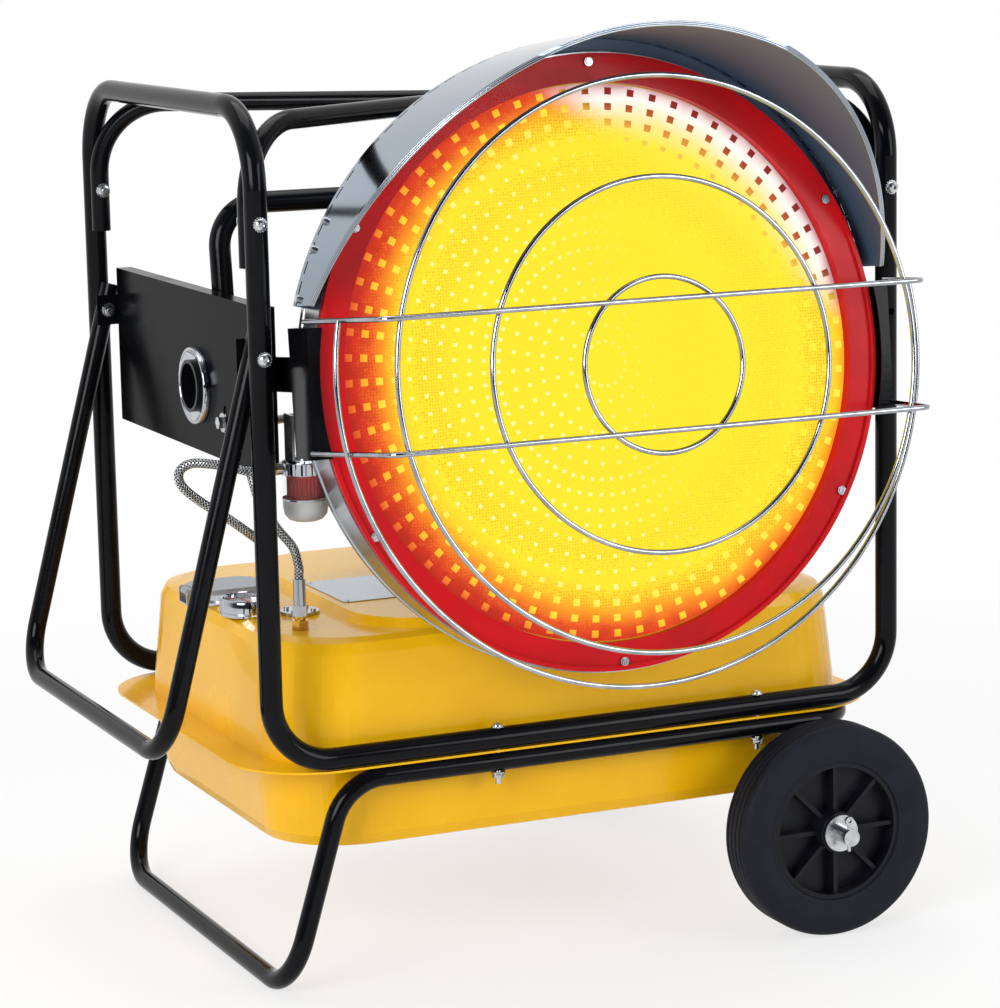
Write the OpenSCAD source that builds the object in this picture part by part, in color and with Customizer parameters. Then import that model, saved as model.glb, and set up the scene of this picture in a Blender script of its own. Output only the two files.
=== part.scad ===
// Mobile infrared oil heater: a large glowing disc in a tilting head, hung
// between two side panels in a tubular frame that stands on a foot and two
// wheels, over a pressed steel fuel tank.
// Front is -Y, the wheels are at +X, and Z = 0 is the floor.

/* [Upper frame] */
// Outside diameter of the frame tube
tube_d = 25.4; // [22:0.1:30]
// Distance between the left and right uprights, centre to centre
frame_w = 772; // [740:1:840]
// Distance between the front and rear uprights, centre to centre
frame_d = 565; // [550:1:620]
// Height of the bottom bars above the floor, centre
bar_z = 270; // [262:1:300]
// Height of the top side bars above the floor, centre
top_z = 984; // [950:1:1040]
// Bend radius of the frame tube at the bottom, to its centre
bend_r = 70; // [60:1:80]
// Bend radius of the frame tube at the top, to its centre
top_r = 85; // [75:1:95]
// Wall of the frame tube
tube_wall = 1.5; // [1:0.1:2.5]
// Outside diameter of the top brace tube
brace_d = 22.2; // [18:0.1:25]
// Drop of the top brace below the top side bars
brace_drop = 17; // [14:1:40]
// Bend radius of the brace tubes
brace_r = 85; // [80:1:90]
// Height of the cut ends of the brace legs
brace_end_z = 814; // [800:1:850]
// Height of the brace bolts
brace_bolt_z = 863; // [840:1:880]

/* [Lower frame] */
// Outside diameter of the lower frame tube
leg_d = 22.2; // [18:0.1:25]
// Bend radius of the lower frame tube
leg_r = 62; // [50:1:75]
// Lean of the two legs
leg_lean = 17; // [10:0.5:20]
// Distance of the foot bar from the left uprights, towards the wheels
foot_in = 12; // [0:1:30]
// Distance of the lower frame's cross tube from the right uprights
rail_end_in = 41; // [36:1:50]

/* [Wheels] */
// Outside diameter of the tyre
wheel_d = 250; // [230:1:262]
// Width of the tyre
tyre_w = 55; // [45:1:60]
// Outside diameter of the rim
rim_d = 162; // [140:1:180]
// Diameter of the axle
axle_d = 20; // [16:0.5:22]
// Distance of the axle from the right uprights, inwards
axle_in = 104; // [100:1:130]
// Running clearance of the rim on the axle, on the radius
axle_clear = 0.08; // [0.05:0.01:0.1]
// Gap between the rim's inner face and the frame rail
wheel_gap = 5.5; // [5:0.5:12]
// Ribs in each rim
rim_ribs = 8; // [5:1:12]

/* [Fuel tank] */
// Distance of the tank's end walls inside the middle of the uprights
tank_end_in = 20; // [16:1:45]
// Distance of the tank's front and rear walls inside the middle of the frame tube
tank_side_in = 19.5; // [17:0.5:32]
// Reach of the tank flange beyond the middle of the left uprights
flange_left = 21; // [12:1:26]
// Reach of the tank flange beyond the middle of the right uprights
flange_right = 7; // [2:1:12]
// Reach of the tank flange beyond the middle of the front and rear frame tubes
flange_side = 5.5; // [3:0.5:12]
// Height of the upper half above the flange
tank_up = 137; // [120:1:142]
// Depth of the lower half below the flange
tank_down = 102; // [80:1:110]
// Draft of the tank walls at the top and bottom
tank_draft = 10; // [4:1:14]
// Sheet thickness of each tank half
tank_t = 1.2; // [1:0.1:2]
// Outside diameter of the gauge bezel
gauge_d = 66; // [50:1:72]
// Height of the gauge bezel above the tank
gauge_h = 20; // [15:1:25]
// Bore of the filler neck
filler_d = 52; // [40:1:56]

/* [Side panels] */
// Height of the side panel
panel_h = 184; // [170:1:200]
// Height of the side panel's lower edge above the floor
panel_z = 585; // [570:1:590]
// Sheet thickness of the side panels
panel_t = 1.5; // [1:0.1:2.5]
// Depth of the panel's folded flanges
panel_flange = 17; // [10:1:18]

/* [Carry handle] */
// Outside diameter of the handle tube
handle_d = 22.2; // [18:0.1:24]
// Height of the handle pivots above the floor
handle_z = 719; // [700:1:735]
// Length of the handle arms from pivot to bar, centre
handle_l = 448; // [400:1:470]
// Lean of the folded handle
handle_lean = 15; // [10:0.5:20]
// Length of the arms above the pivots
handle_top = 31; // [24:1:32]

/* [Head] */
// Height of the tilt axis above the floor
pivot_z = 660; // [650:1:670]
// Distance of the tilt axis behind the frame's middle
pivot_y = -38; // [-45:1:-30]
// Tilt of the head at rest, nose up
head_tilt = 6; // [0:0.5:12]
// Gap between the casing band and the middle of the uprights
casing_gap = 44; // [41:1:60]
// Depth of the casing band
casing_depth = 55; // [45:1:60]
// Distance of the red ring's face in front of the tilt axis
face_y = 296; // [290:1:305]
// Width of the red ring's face, from the casing in to the emitter disc
ring_face = 33; // [30:1:60]
// Sheet thickness of the casing
casing_t = 1.5; // [1:0.1:2]
// Rise of the emitter disc's dome
dome_h = 10; // [4:1:14]
// Distance of the hood outside the casing band
hood_gap = 16; // [10:1:20]
// Sheet thickness of the hood
hood_t = 1.5; // [1:0.1:2]
// Reach of the hood in front of the red ring at the top
hood_reach = 188; // [150:1:195]
// Half the angle that the hood covers
hood_half = 76; // [60:1:80]

/* [Guard] */
// Diameter of the guard wire
wire_d = 6; // [5:0.5:7]
// Distance of the guard rings in front of the red ring
guard_out = 144; // [120:1:160]
// Radius of the small guard ring
ring_small = 94; // [80:1:110]
// Radius of the middle guard ring
ring_mid = 200; // [180:1:220]
// Radius of the large guard ring
ring_large = 307; // [290:1:315]
// Half the distance between the two guard bars
bar_half = 70; // [60:1:80]
// Distance of the ends of the guard bars' straight front inside the casing band
bar_in = 22; // [17:1:27]

/* [Burner] */
// Outside radius of the combustion chamber
chamber_r = 150; // [120:1:165]
// Length of the combustion chamber
chamber_l = 180; // [150:1:190]
// Width of the burner cover
cover_w = 220; // [190:1:230]
// Height of the burner cover
cover_h = 270; // [230:1:280]
// Depth of the burner cover
cover_l = 140; // [130:1:150]
// Sheet thickness of the burner cover
cover_t = 1.5; // [1:0.1:2]
// Outside diameter of the blower wheel
fan_d = 130; // [100:1:140]

/* [Fuel line] */
// Outside diameter of the braided hoses
hose_d = 10.5; // [8:0.5:12]
// Outside diameter of the strainer bowl
bowl_d = 50; // [40:1:54]
// Height of the strainer bowl
bowl_h = 52; // [40:1:60]

/* [Hidden] */
$fn = 64;
eps = 0.01;
tube_r = tube_d / 2;
half_w = frame_w / 2;
half_d = frame_d / 2;
inner_d = half_d - tube_r;
casing_r = half_w - casing_gap;
emitter_r = casing_r - ring_face;
hood_r = casing_r + hood_gap;
bar_reach = casing_r - bar_in;
tank_l = frame_w - 2 * tank_end_in;
tank_w = frame_d - 2 * tank_side_in;
flange_l = frame_w + flange_left + flange_right;
flange_w = frame_d + 2 * flange_side;
flange_r = 102;

// The lower half ends short of the lower frame's cross tube
low_end = half_w - rail_end_in - leg_d / 2 - 3;
low_l = tank_l / 2 + low_end;
low_mid = (low_end - tank_l / 2) / 2;

// Gap between parts that only touch
touch = 0.1;
// Gap between parts that move past each other
free = 0.3;

// Bolts
bolt_d = 8;
bolt_head = 15;
screw_d = 4;

// Heights that follow from the frame
seam_z = bar_z - tube_r - touch - tank_t;
rail_z = seam_z - tank_t - touch - leg_d / 2;
deck_z = seam_z + tank_up;
rim_in = half_d + leg_d / 2 + wheel_gap;
axle_x = half_w - axle_in;
axle_z = wheel_d / 2;
axle_end = rim_in + tyre_w + 28;
brace_z = top_z - brace_drop;
brace_y = half_d - tube_r - brace_d / 2 - free;
arm_y = half_d - tube_r - handle_d / 2 - free;
panel_x = half_w - tube_r;
panel_y = arm_y - handle_d / 2 - free;
plate_x = panel_x - panel_t - panel_flange - 3;
plate_t = 4;
tank_r = 92;
flange_x = (flange_right - flange_left) / 2;

// The object's own box, which the whole model is centred on
guard_y = face_y + guard_out;
low_x = -half_w - handle_l * sin(handle_lean) - handle_d / 2;
high_x = axle_x + wheel_d / 2;
low_y = pivot_y - guard_y * cos(head_tilt) - ring_large * sin(head_tilt) - wire_d / 2;
high_y = axle_end;
shift_x = -(low_x + high_x) / 2;
shift_y = -(low_y + high_y) / 2;

frame_black = [0.06, 0.06, 0.07];
panel_grey = [0.13, 0.13, 0.15];
tank_yellow = [0.86, 0.66, 0.13];
steel = [0.72, 0.73, 0.75];
zinc = [0.80, 0.80, 0.82];
signal_red = [0.80, 0.12, 0.14];
brass = [0.82, 0.62, 0.22];
rubber = [0.10, 0.10, 0.11];

// Puts the frame's middle where the object's box is centred
module placed() { translate([shift_x, shift_y, 0]) children(); }

// The head's own frame: the tilt axis is its X axis and the head faces -Y
module head() {
  placed() translate([0, pivot_y, pivot_z]) rotate([-head_tilt, 0, 0]) children();
}

// The head's round parts: Z runs forward along the head's axis and Y is up
module axial() { head() rotate([90, 0, 0]) children(); }

module both_x() {
  children();
  mirror([1, 0, 0]) children();
}

module both_y() {
  children();
  mirror([0, 1, 0]) children();
}

// Turns Z to run along +X, or along +Y
module along_x(p) { translate(p) rotate([0, 90, 0]) children(); }
module along_y(p) { translate(p) rotate([-90, 0, 0]) children(); }

// A straight run of tube along Z; what follows starts at its end
module run(l) {
  cylinder(h = l, d = $td);
  translate([0, 0, l]) children();
}

// A bend of radius r through a degrees, towards X turned by t about Z
module turn(r, t, a = 90) {
  rotate([0, 0, t]) {
    translate([r, 0, 0])
      rotate([90, 0, 180])
        rotate_extrude(angle = a) translate([r, 0]) circle(d = $td);
    translate([r * (1 - cos(a)), 0, r * sin(a)])
      rotate([0, a, 0]) {
        children();
        if (a != 90)
          translate([0, 0, -seam_l / 2]) cylinder(h = seam_l, d = $td + 2 * seam_t);
      }
  }
}

// A hair-thin seam where a bend that isn't square meets its straight run
seam_l = 0.4;
seam_t = 0.02;

module sized(d) {
  $td = d;
  children();
}

// A hollow tube along the path in its children
module pipe(d, wall) {
  difference() {
    sized(d) children();
    sized(d - 2 * wall) children();
  }
}

module ring(ro, ri, h) {
  difference() {
    cylinder(h = h, r = ro);
    translate([0, 0, -1]) cylinder(h = h + 2, r = ri);
  }
}

// A plate with round corners, centred in plan and standing on Z = 0
module plate(l, w, r, h) {
  translate([-l / 2 + r, -w / 2, 0]) cube([l - 2 * r, w, h]);
  translate([-l / 2, -w / 2 + r, 0]) cube([l, w - 2 * r, h]);
  for (x = [-1, 1], y = [-1, 1])
    translate([x * (l / 2 - r), y * (w / 2 - r), 0]) cylinder(h = h, r = r);
}

// A pan head bolt whose head stands on Z = 0 and whose shank runs down
module bolt(l, d = bolt_d, hd = bolt_head) {
  cylinder(h = hd * 0.3, d = hd);
  translate([0, 0, hd * 0.3 - eps]) cylinder(h = hd * 0.12, d = hd * 0.7);
  translate([0, 0, -l]) cylinder(h = l + eps, d = d);
}

// A hexagon nut with a washer, standing on Z = 0
module nut(d) {
  ring(d * 1.05, d / 2, d * 0.2);
  translate([0, 0, d * 0.2 - eps])
    difference() {
      cylinder(h = d * 0.75, d = d * 1.85, $fn = 6);
      translate([0, 0, -1]) cylinder(h = d + 2, d = d);
    }
}

// Upper frame

module frame_path() {
  side = top_z - bar_z - top_r - bend_r;
  translate([-half_w, 0, top_z])
    rotate([90, 0, 0])
      run(half_d - top_r) turn(top_r, -90) run(side) turn(bend_r, 90)
        run(frame_w - 2 * bend_r) turn(bend_r, 0) run(side) turn(top_r, -90)
          run(half_d - top_r);
}

bolt_xs = [-118, 212];

module frame_half() {
  difference() {
    pipe(tube_d, tube_wall) frame_path();
    for (x = [-half_w, half_w]) {
      along_y([x, -half_d - tube_d, brace_bolt_z]) cylinder(h = 2 * tube_d, d = bolt_d + 2 * touch);
      along_y([x, -half_d - tube_d, handle_z]) cylinder(h = 2 * tube_d, d = bolt_d + 2 * touch);
    }
    for (x = bolt_xs)
      translate([x, -half_d, bar_z - tube_d]) cylinder(h = 2 * tube_d, d = bolt_d + 2 * touch);
  }
}

module front_frame() { color(frame_black) placed() frame_half(); }

module rear_frame() { color(frame_black) placed() mirror([0, 1, 0]) frame_half(); }

module brace_path() {
  diag = 2 * norm([half_w, brace_y]);
  leg = brace_z - brace_r - brace_end_z;
  translate([-half_w, -brace_y, brace_end_z])
    rotate([0, 0, atan2(brace_y, half_w)])
      run(leg) turn(brace_r, 0) run(diag - 2 * brace_r) turn(brace_r, 0) run(leg);
}

module top_brace() {
  color(frame_black) placed() difference() {
    both_y() sized(brace_d) brace_path();
    both_y() sized(brace_d - 2 * tube_wall) brace_path();
    both_y() for (x = [-half_w, half_w])
      along_y([x, -brace_y - brace_d, brace_bolt_z])
        cylinder(h = 2 * brace_d, d = bolt_d + 2 * touch);
  }
}

module frame_bolts() {
  l = tube_d + brace_d + 12;
  color(zinc) placed() both_y() for (x = [-half_w, half_w]) {
    translate([x, -half_d - tube_r - touch, brace_bolt_z]) rotate([90, 0, 0]) bolt(l);
    along_y([x, -brace_y + brace_d / 2 + touch, brace_bolt_z]) nut(bolt_d);
  }
}

module tank_bolts() {
  l = tube_d + leg_d + 2 * tank_t + 16;
  color(zinc) placed() both_y() for (x = bolt_xs) {
    translate([x, -half_d, bar_z + tube_r + touch]) bolt(l, bolt_d, 13);
    translate([x, -half_d, rail_z - leg_d / 2 - touch]) mirror([0, 0, 1]) nut(bolt_d);
  }
}

// Lower frame, axle and wheels

module leg_path() {
  foot_x = -half_w + foot_in;
  foot_z = leg_d / 2;
  corner_x = foot_x + (rail_z - foot_z) * tan(leg_lean);
  a = 90 - leg_lean;
  cut = leg_r * tan(a / 2);
  leg = (rail_z - foot_z) / cos(leg_lean) - cut - leg_r;
  translate([half_w - rail_end_in, 0, rail_z])
    rotate([90, 0, 0])
      run(half_d - leg_r) turn(leg_r, 180) run(half_w - rail_end_in - leg_r - corner_x - cut)
        turn(leg_r, 90, a) run(leg) turn(leg_r, -90) run(half_d - leg_r);
}

module lower_frame() {
  color(frame_black) placed() difference() {
    both_y() sized(leg_d) leg_path();
    both_y() sized(leg_d - 2 * tube_wall) leg_path();
    both_y() for (x = bolt_xs)
      translate([x, -half_d, rail_z - leg_d]) cylinder(h = 2 * leg_d, d = bolt_d + 2 * touch);
  }
}

module axle_brackets() {
  t = 5;
  w = 44;
  fold = 14;
  y = -half_d - t / 2;
  color(frame_black) placed() both_y() difference() {
    union() {
      translate([axle_x - w / 2, y, axle_z]) cube([w, t, rail_z - leg_d / 2 - axle_z - touch]);
      along_y([axle_x, y, axle_z]) cylinder(h = t, d = w);
      translate([axle_x - w / 2, y + t, axle_z + 30]) cube([4, fold, rail_z - leg_d / 2 - axle_z - 30 - touch]);
    }
    along_y([axle_x, y - 1, axle_z]) cylinder(h = t + 2, d = axle_d + 2 * touch);
  }
}

module axle() {
  color(steel) placed() difference() {
    along_y([axle_x, -axle_end, axle_z]) cylinder(h = 2 * axle_end, d = axle_d);
    both_y() translate([axle_x, -axle_end + 7, axle_z - axle_d])
      cylinder(h = 2 * axle_d, d = 4.2);
  }
}

module wheel_washers() {
  color(zinc) placed() both_y() {
    along_y([axle_x, -rim_in - tyre_w - 4, axle_z]) ring(21.5, axle_d / 2 + touch, 3);
    along_y([axle_x, -half_d - leg_d / 2 + 2, axle_z]) ring(17, axle_d / 2 + touch, wheel_gap - 2 - free);
  }
}

module split_pins() {
  color(zinc) placed() both_y() {
    translate([axle_x, -axle_end + 7, axle_z - axle_d / 2 - 7])
      cylinder(h = axle_d + 14, d = 4);
    along_y([axle_x, -axle_end + 5.2, axle_z + axle_d / 2 + 9]) ring(5, 2.5, 3.6);
  }
}

module tyre() {
  ro = wheel_d / 2;
  ri = rim_d / 2;
  w = tyre_w / 2;
  color(rubber) difference() {
    rotate_extrude()
      polygon([[ri, -w * 0.75], [ri + 4, -w * 0.86], [ro - 18, -w], [ro - 8, -w * 0.97],
        [ro - 2.5, -w * 0.84], [ro, -w * 0.62], [ro, w * 0.62], [ro - 2.5, w * 0.84],
        [ro - 8, w * 0.97], [ro - 18, w], [ri + 4, w * 0.86], [ri, w * 0.75]]);
    for (z = [-0.42, 0, 0.42])
      translate([0, 0, z * w - 1.5]) ring(ro + 1, ro - 3, 3);
  }
}

module rim() {
  ri = rim_d / 2 - touch;
  w = tyre_w / 2;
  bore = axle_d / 2 + axle_clear;
  color(rubber) difference() {
    union() {
      translate([0, 0, -w * 0.75]) ring(ri, ri - 5, w * 1.5);
      translate([0, 0, -2]) ring(ri - 4, 20, 4);
      translate([0, 0, -w]) ring(24, bore, 2 * w);
      for (k = [0:rim_ribs - 1])
        rotate([0, 0, k * 360 / rim_ribs])
          translate([22, -2.5, -w * 0.6]) cube([ri - 25, 5, w * 1.2]);
    }
    translate([0, 0, -w - 1]) cylinder(h = tyre_w + 2, r = bore);
  }
}

module wheel_place(s) {
  placed() along_y([axle_x, s * (rim_in + tyre_w / 2), axle_z]) children();
}

module front_tyre() { wheel_place(-1) tyre(); }
module front_rim() { wheel_place(-1) rim(); }
module rear_tyre() { wheel_place(1) tyre(); }
module rear_rim() { wheel_place(1) rim(); }

// Fuel tank

// The outside of a tank half of length l from the flange to its far face, t inside the sheet
module half_shape(h, t, edge, l) {
  slices = [[0, 0], [h - edge, tank_draft], [h - edge * 0.3, tank_draft + edge * 0.3],
    [h - 1, tank_draft + edge]];
  hull()
    for (s = slices)
      translate([0, 0, s[0] - (s[0] > 0 ? t : 1.5 * t)])
        plate(l - 2 * s[1] - 2 * t, tank_w - 2 * s[1] - 2 * t, tank_r - t, 1, $fn = 36);
}

plateau_l = 578;
plateau_w = 466;
plateau_h = 10;

module plateau(t) {
  translate([tank_l / 2 - 34 - plateau_l / 2, 0, tank_up - 3])
    hull() {
      plate(plateau_l - 2 * t, plateau_w - 2 * t, 90 - t, 1, $fn = 36);
      translate([0, 0, plateau_h + 2 - t]) plate(plateau_l - 2 * plateau_h - 2 * t,
        plateau_w - 2 * plateau_h - 2 * t, 84 - t, 1, $fn = 36);
    }
}

// The flange round a tank half of length l whose middle is at x
module flange_sheet(l, x) {
  difference() {
    translate([flange_x, 0, 0]) plate(flange_l, flange_w, flange_r, tank_t);
    translate([x, 0, -1]) plate(l - 8, tank_w - 8, tank_r - 4, tank_t + 2);
    both_y() for (x = bolt_xs)
      translate([x, -half_d, -1]) cylinder(h = tank_t + 2, d = bolt_d + 2 * touch);
  }
}

gauge_at = [-327, -54];
cap_at = [-322, 37];
return_at = [-306, -167];
supply_at = [-332, -132];
pickup_at = [-275, -84];
neck_d = filler_d + 8;

module tank_upper() {
  color(tank_yellow) placed() translate([0, 0, seam_z]) {
    flange_sheet(tank_l, 0);
    difference() {
      union() {
        half_shape(tank_up, 0, 17, tank_l);
        plateau(0);
      }
      half_shape(tank_up, tank_t, 17, tank_l);
      plateau(tank_t);
      translate([-half_w, -half_d, -20]) cube([frame_w, frame_d, 20]);
      translate([cap_at[0], cap_at[1], 60]) cylinder(h = 90, d = neck_d + 2 * touch);
      translate([gauge_at[0], gauge_at[1], 60]) cylinder(h = 90, d = 30 + 2 * touch);
      for (p = [return_at, supply_at])
        translate([p[0], p[1], 60]) cylinder(h = 90, d = 10 + 2 * touch);
      translate([pickup_at[0], pickup_at[1], 60]) cylinder(h = 90, d = 20 + 2 * touch);
    }
  }
}

module tank_lower() {
  color(tank_yellow) placed() translate([0, 0, seam_z - touch / 2]) mirror([0, 0, 1]) {
    flange_sheet(low_l, low_mid);
    difference() {
      translate([low_mid, 0, 0]) half_shape(tank_down, 0, 18, low_l);
      translate([low_mid, 0, 0]) half_shape(tank_down, tank_t, 18, low_l);
      translate([-half_w, -half_d, -20]) cube([frame_w, frame_d, 20]);
      translate([0, 0, 60]) cylinder(h = 90, d = 16 + 2 * touch);
    }
  }
}

module drain_plug() {
  color(zinc) placed() translate([0, 0, seam_z - tank_down]) {
    translate([0, 0, -2]) cylinder(h = 14, d = 16);
    translate([0, 0, -9 - touch]) cylinder(h = 9, d = 24, $fn = 6);
  }
}

cap_z = deck_z + 13;
hinge_x = cap_at[0] - 48;
hinge_z = cap_z + 2;

module filler_neck() {
  color(steel) placed() {
    translate([cap_at[0], cap_at[1], deck_z - 18]) ring(neck_d / 2, filler_d / 2, 30.5);
    translate([cap_at[0], cap_at[1], deck_z + touch]) ring(neck_d / 2 + 6, filler_d / 2, 2);
    for (s = [-1, 1])
      translate([hinge_x - 5, cap_at[1] + s * 13 - 1.5, deck_z + touch]) {
        cube([10, 3, hinge_z - deck_z]);
        translate([5, 1.5 * (1 + s), hinge_z - deck_z - touch])
          rotate([90 , 0, 0]) cylinder(h = 3, d = 10);
      }
    translate([hinge_x - 5, cap_at[1] - 14.5, deck_z + touch]) cube([26, 29, 2]);
    along_y([hinge_x, cap_at[1] - 15.5, hinge_z]) cylinder(h = 31, d = 4);
  }
}

module filler_cap() {
  color(zinc) placed() {
    difference() {
      union() {
        translate([cap_at[0], cap_at[1], cap_z]) intersection() {
          translate([-42, -35, 0]) cube([84, 70, 6]);
          rotate([0, 0, 45]) translate([-45, -45, 0]) cube([90, 90, 6]);
        }
        translate([hinge_x, cap_at[1] - 10.5, cap_z]) cube([14, 21, 4]);
        along_y([hinge_x, cap_at[1] - 10.5, hinge_z]) cylinder(h = 21, d = 9);
      }
      along_y([hinge_x, cap_at[1] - 16, hinge_z]) cylinder(h = 32, d = 4.16);
    }
    translate([cap_at[0], cap_at[1], cap_z - 5]) ring(filler_d / 2 - 3, filler_d / 2 - 6, 5 + eps);
  }
}

dial_z = deck_z + gauge_h - 7;

module gauge_body() {
  r = gauge_d / 2;
  color(steel) placed() translate([gauge_at[0], gauge_at[1], 0]) {
    translate([0, 0, deck_z + touch]) ring(r, 8, 3);
    translate([0, 0, deck_z + touch]) ring(r, r - 4, gauge_h - touch);
    translate([0, 0, deck_z + touch]) ring(12, 1.08, dial_z - deck_z - touch);
    translate([0, 0, dial_z - 1]) ring(r - 3, 1.08, 1);
    translate([0, 0, deck_z - 60]) ring(15, 13, 63);
  }
}

module gauge_glass() {
  color([0.9, 0.9, 0.85, 0.4]) placed()
    translate([gauge_at[0], gauge_at[1], deck_z + gauge_h - 2.5])
      cylinder(h = 2, r = gauge_d / 2 - 4 - touch);
}

module gauge_needle() {
  color(signal_red) placed() translate([gauge_at[0], gauge_at[1], dial_z]) {
    translate([0, 0, -8]) cylinder(h = 10, r = 1);
    translate([0, 0, 0.5]) cylinder(h = 1.5, r = 3);
    translate([-0.8, 0, 0.7]) cube([1.6, gauge_d / 2 - 8, 1]);
  }
}

module pickup_plate() {
  color(steel) placed() translate([pickup_at[0], pickup_at[1], 0]) {
    translate([0, 0, deck_z + touch]) cylinder(h = 4, d = 45);
    translate([0, 0, deck_z + 4]) cylinder(h = 8, d = 17, $fn = 6);
    translate([0, 0, deck_z - 70]) cylinder(h = 71, d = 20);
    for (a = [45:90:315])
      rotate([0, 0, a]) translate([17, 0, deck_z + 4]) cylinder(h = 3, d = 6);
  }
}

union_h = 16;
nut_h = 12;
ferrule_h = 30;
ferrule_z = deck_z + union_h + nut_h + ferrule_h;

module brass_unions() {
  color(brass) placed() for (p = [return_at, supply_at]) translate([p[0], p[1], 0]) {
    translate([0, 0, deck_z - 20]) cylinder(h = 21, d = 10);
    translate([0, 0, deck_z + touch]) cylinder(h = union_h - 5, d = 20, $fn = 6);
    translate([0, 0, deck_z + touch]) cylinder(h = union_h - touch, d = 13);
  }
}

module hose_nuts() {
  color(steel) placed() for (p = [return_at, supply_at]) translate([p[0], p[1], deck_z + union_h]) {
    cylinder(h = nut_h, d = 18, $fn = 6);
    translate([0, 0, nut_h - eps]) cylinder(h = ferrule_h, d = 14);
  }
}

// Braided hoses: round tubes along smooth curves through these points
hose_sides = 10;
supply_pts = [
  [supply_at[0], supply_at[1], ferrule_z], [supply_at[0], supply_at[1], ferrule_z + 7],
  [supply_at[0], supply_at[1], ferrule_z + 14],
  [-338, -150, 488], [-362, -178, 506], [-396, -186, 532], [-426, -184, 553],
  [-446, -184, 572], [-449, -187, 588], [-438, -194, 597], [-420, -208, 597],
  [-405, -230, 595], [-396, -248, 593.4], [-384, -255.5, 593.4], [-374, -256, 593.4],
  [-363.3, -256, 593.4]];
return_pts = [
  [return_at[0], return_at[1], ferrule_z], [return_at[0], return_at[1], ferrule_z + 7],
  [return_at[0], return_at[1], ferrule_z + 14],
  [-310, -162, 486], [-325, -153, 508], [-341, -143, 538], [-346, -132, 566],
  [-346, -116, 588], [-341, -84, 600], [-316, -30, 604], [-262, 20, 603],
  [-200, 48, 601], [-156, 60, 600], [-141, 60, 600], [-127, 60, 600]];

function unit(v) = v / norm(v);
function curve(p, i, u) =
  let (a = p[max(i - 1, 0)], b = p[i], c = p[i + 1], d = p[min(i + 2, len(p) - 1)])
    0.5 * (2 * b + (c - a) * u + (2 * a - 5 * b + 4 * c - d) * u * u
      + (3 * b - a - 3 * c + d) * u * u * u);
function fine(p, n) = concat(
  [for (i = [0:len(p) - 2], k = [0:n - 1]) curve(p, i, k / n)], [p[len(p) - 1]]);
function heading(q, i) = unit(q[min(i + 1, len(q) - 1)] - q[max(i - 1, 0)]);
function ring_at(q, i, r, ref) =
  let (t = heading(q, i), s = unit(cross(t, ref)), n = cross(t, s))
    [for (k = [0:hose_sides - 1])
      q[i] + r * (cos(k * 360 / hose_sides) * s + sin(k * 360 / hose_sides) * n)];

module hose(p, r, ref) {
  q = fine(p, 2);
  m = len(q);
  pts = [for (i = [0:m - 1]) each ring_at(q, i, r, ref)];
  walls = [for (i = [0:m - 2], k = [0:hose_sides - 1])
    let (a = i * hose_sides + k, b = i * hose_sides + (k + 1) % hose_sides)
      [a, a + hose_sides, b + hose_sides, b]];
  ends = [[for (k = [0:hose_sides - 1]) k],
    [for (k = [hose_sides - 1:-1:0]) (m - 1) * hose_sides + k]];
  polyhedron(points = pts, faces = concat(walls, ends));
}

module supply_hose() { color(steel) placed() hose(supply_pts, hose_d / 2, [0.35, 0.9, 0.1]); }
module return_hose() { color(steel) placed() hose(return_pts, hose_d / 2, [0.6, -0.8, 0]); }

// Side panels

trunnion_r = 30;
collar_r = 44;
slot_r = norm([87, 31.5]);
slot_a = atan2(-31.5, -87);

module panel_blank() {
  t = panel_t;
  h = panel_h;
  f = panel_flange + t;
  translate([-panel_x, -panel_y, panel_z]) cube([t, 2 * panel_y, h]);
  translate([-panel_x, -panel_y, panel_z]) cube([f, t, h]);
  translate([-panel_x, panel_y - t, panel_z]) cube([f, t, h]);
  translate([-panel_x, -panel_y, panel_z]) cube([f, 2 * panel_y, t]);
  translate([-panel_x, -panel_y, panel_z + h - t]) cube([f, 2 * panel_y, t]);
  for (s = [-1, 1])
    translate([-half_w - 14, s * panel_y - (s > 0 ? t : 0), handle_z - 18])
      cube([14 + tube_r + t, t, 36]);
}

module panel_holes() {
  translate([-panel_x - 30, pivot_y, pivot_z])
    rotate([0, 90, 0]) cylinder(h = 40, r = trunnion_r + 6 + touch);
  for (s = [-1, 1])
    along_y([-half_w, s * panel_y - 5, handle_z]) cylinder(h = 10, d = bolt_d + 2 * touch);
}

// The curved slot in which the lock bolt travels as the head tilts
module lock_slot() {
  w = 5;
  translate([-panel_x - 5, pivot_y, pivot_z])
    rotate([90, 0, 90]) {
      rotate([0, 0, slot_a - 9])
        rotate_extrude(angle = 14) translate([slot_r - w, 0]) square([2 * w, 12]);
      for (a = [-9, 5])
        rotate([0, 0, slot_a + a]) translate([slot_r, 0, 0]) cylinder(h = 12, r = w + 0.3);
    }
}

module side_panel_left() {
  color(panel_grey) placed() difference() {
    panel_blank();
    panel_holes();
    lock_slot();
  }
}

module side_panel_right() {
  color(panel_grey) placed() mirror([1, 0, 0]) difference() {
    panel_blank();
    panel_holes();
    lock_slot();
  }
}

module trunnion_collars() {
  r = trunnion_r + 0.05;
  color(steel) placed() both_x() along_x([-panel_x, pivot_y, pivot_z]) {
    translate([0, 0, -12 - touch]) ring(collar_r - 5, r, 4);
    translate([0, 0, -8 - touch]) ring(collar_r, r, 8);
    translate([0, 0, -1]) ring(trunnion_r + 6, r, 6);
  }
}

// Carry handle

module handle_path() {
  a = 90;
  l = handle_l + handle_top - bend_h;
  translate([-half_w + handle_top * sin(handle_lean), -arm_y, handle_z + handle_top * cos(handle_lean)])
    rotate([0, 180 + handle_lean, 0])
      run(l) turn(bend_h, 90) run(2 * arm_y - 2 * bend_h) turn(bend_h, 0) run(l);
}

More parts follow.
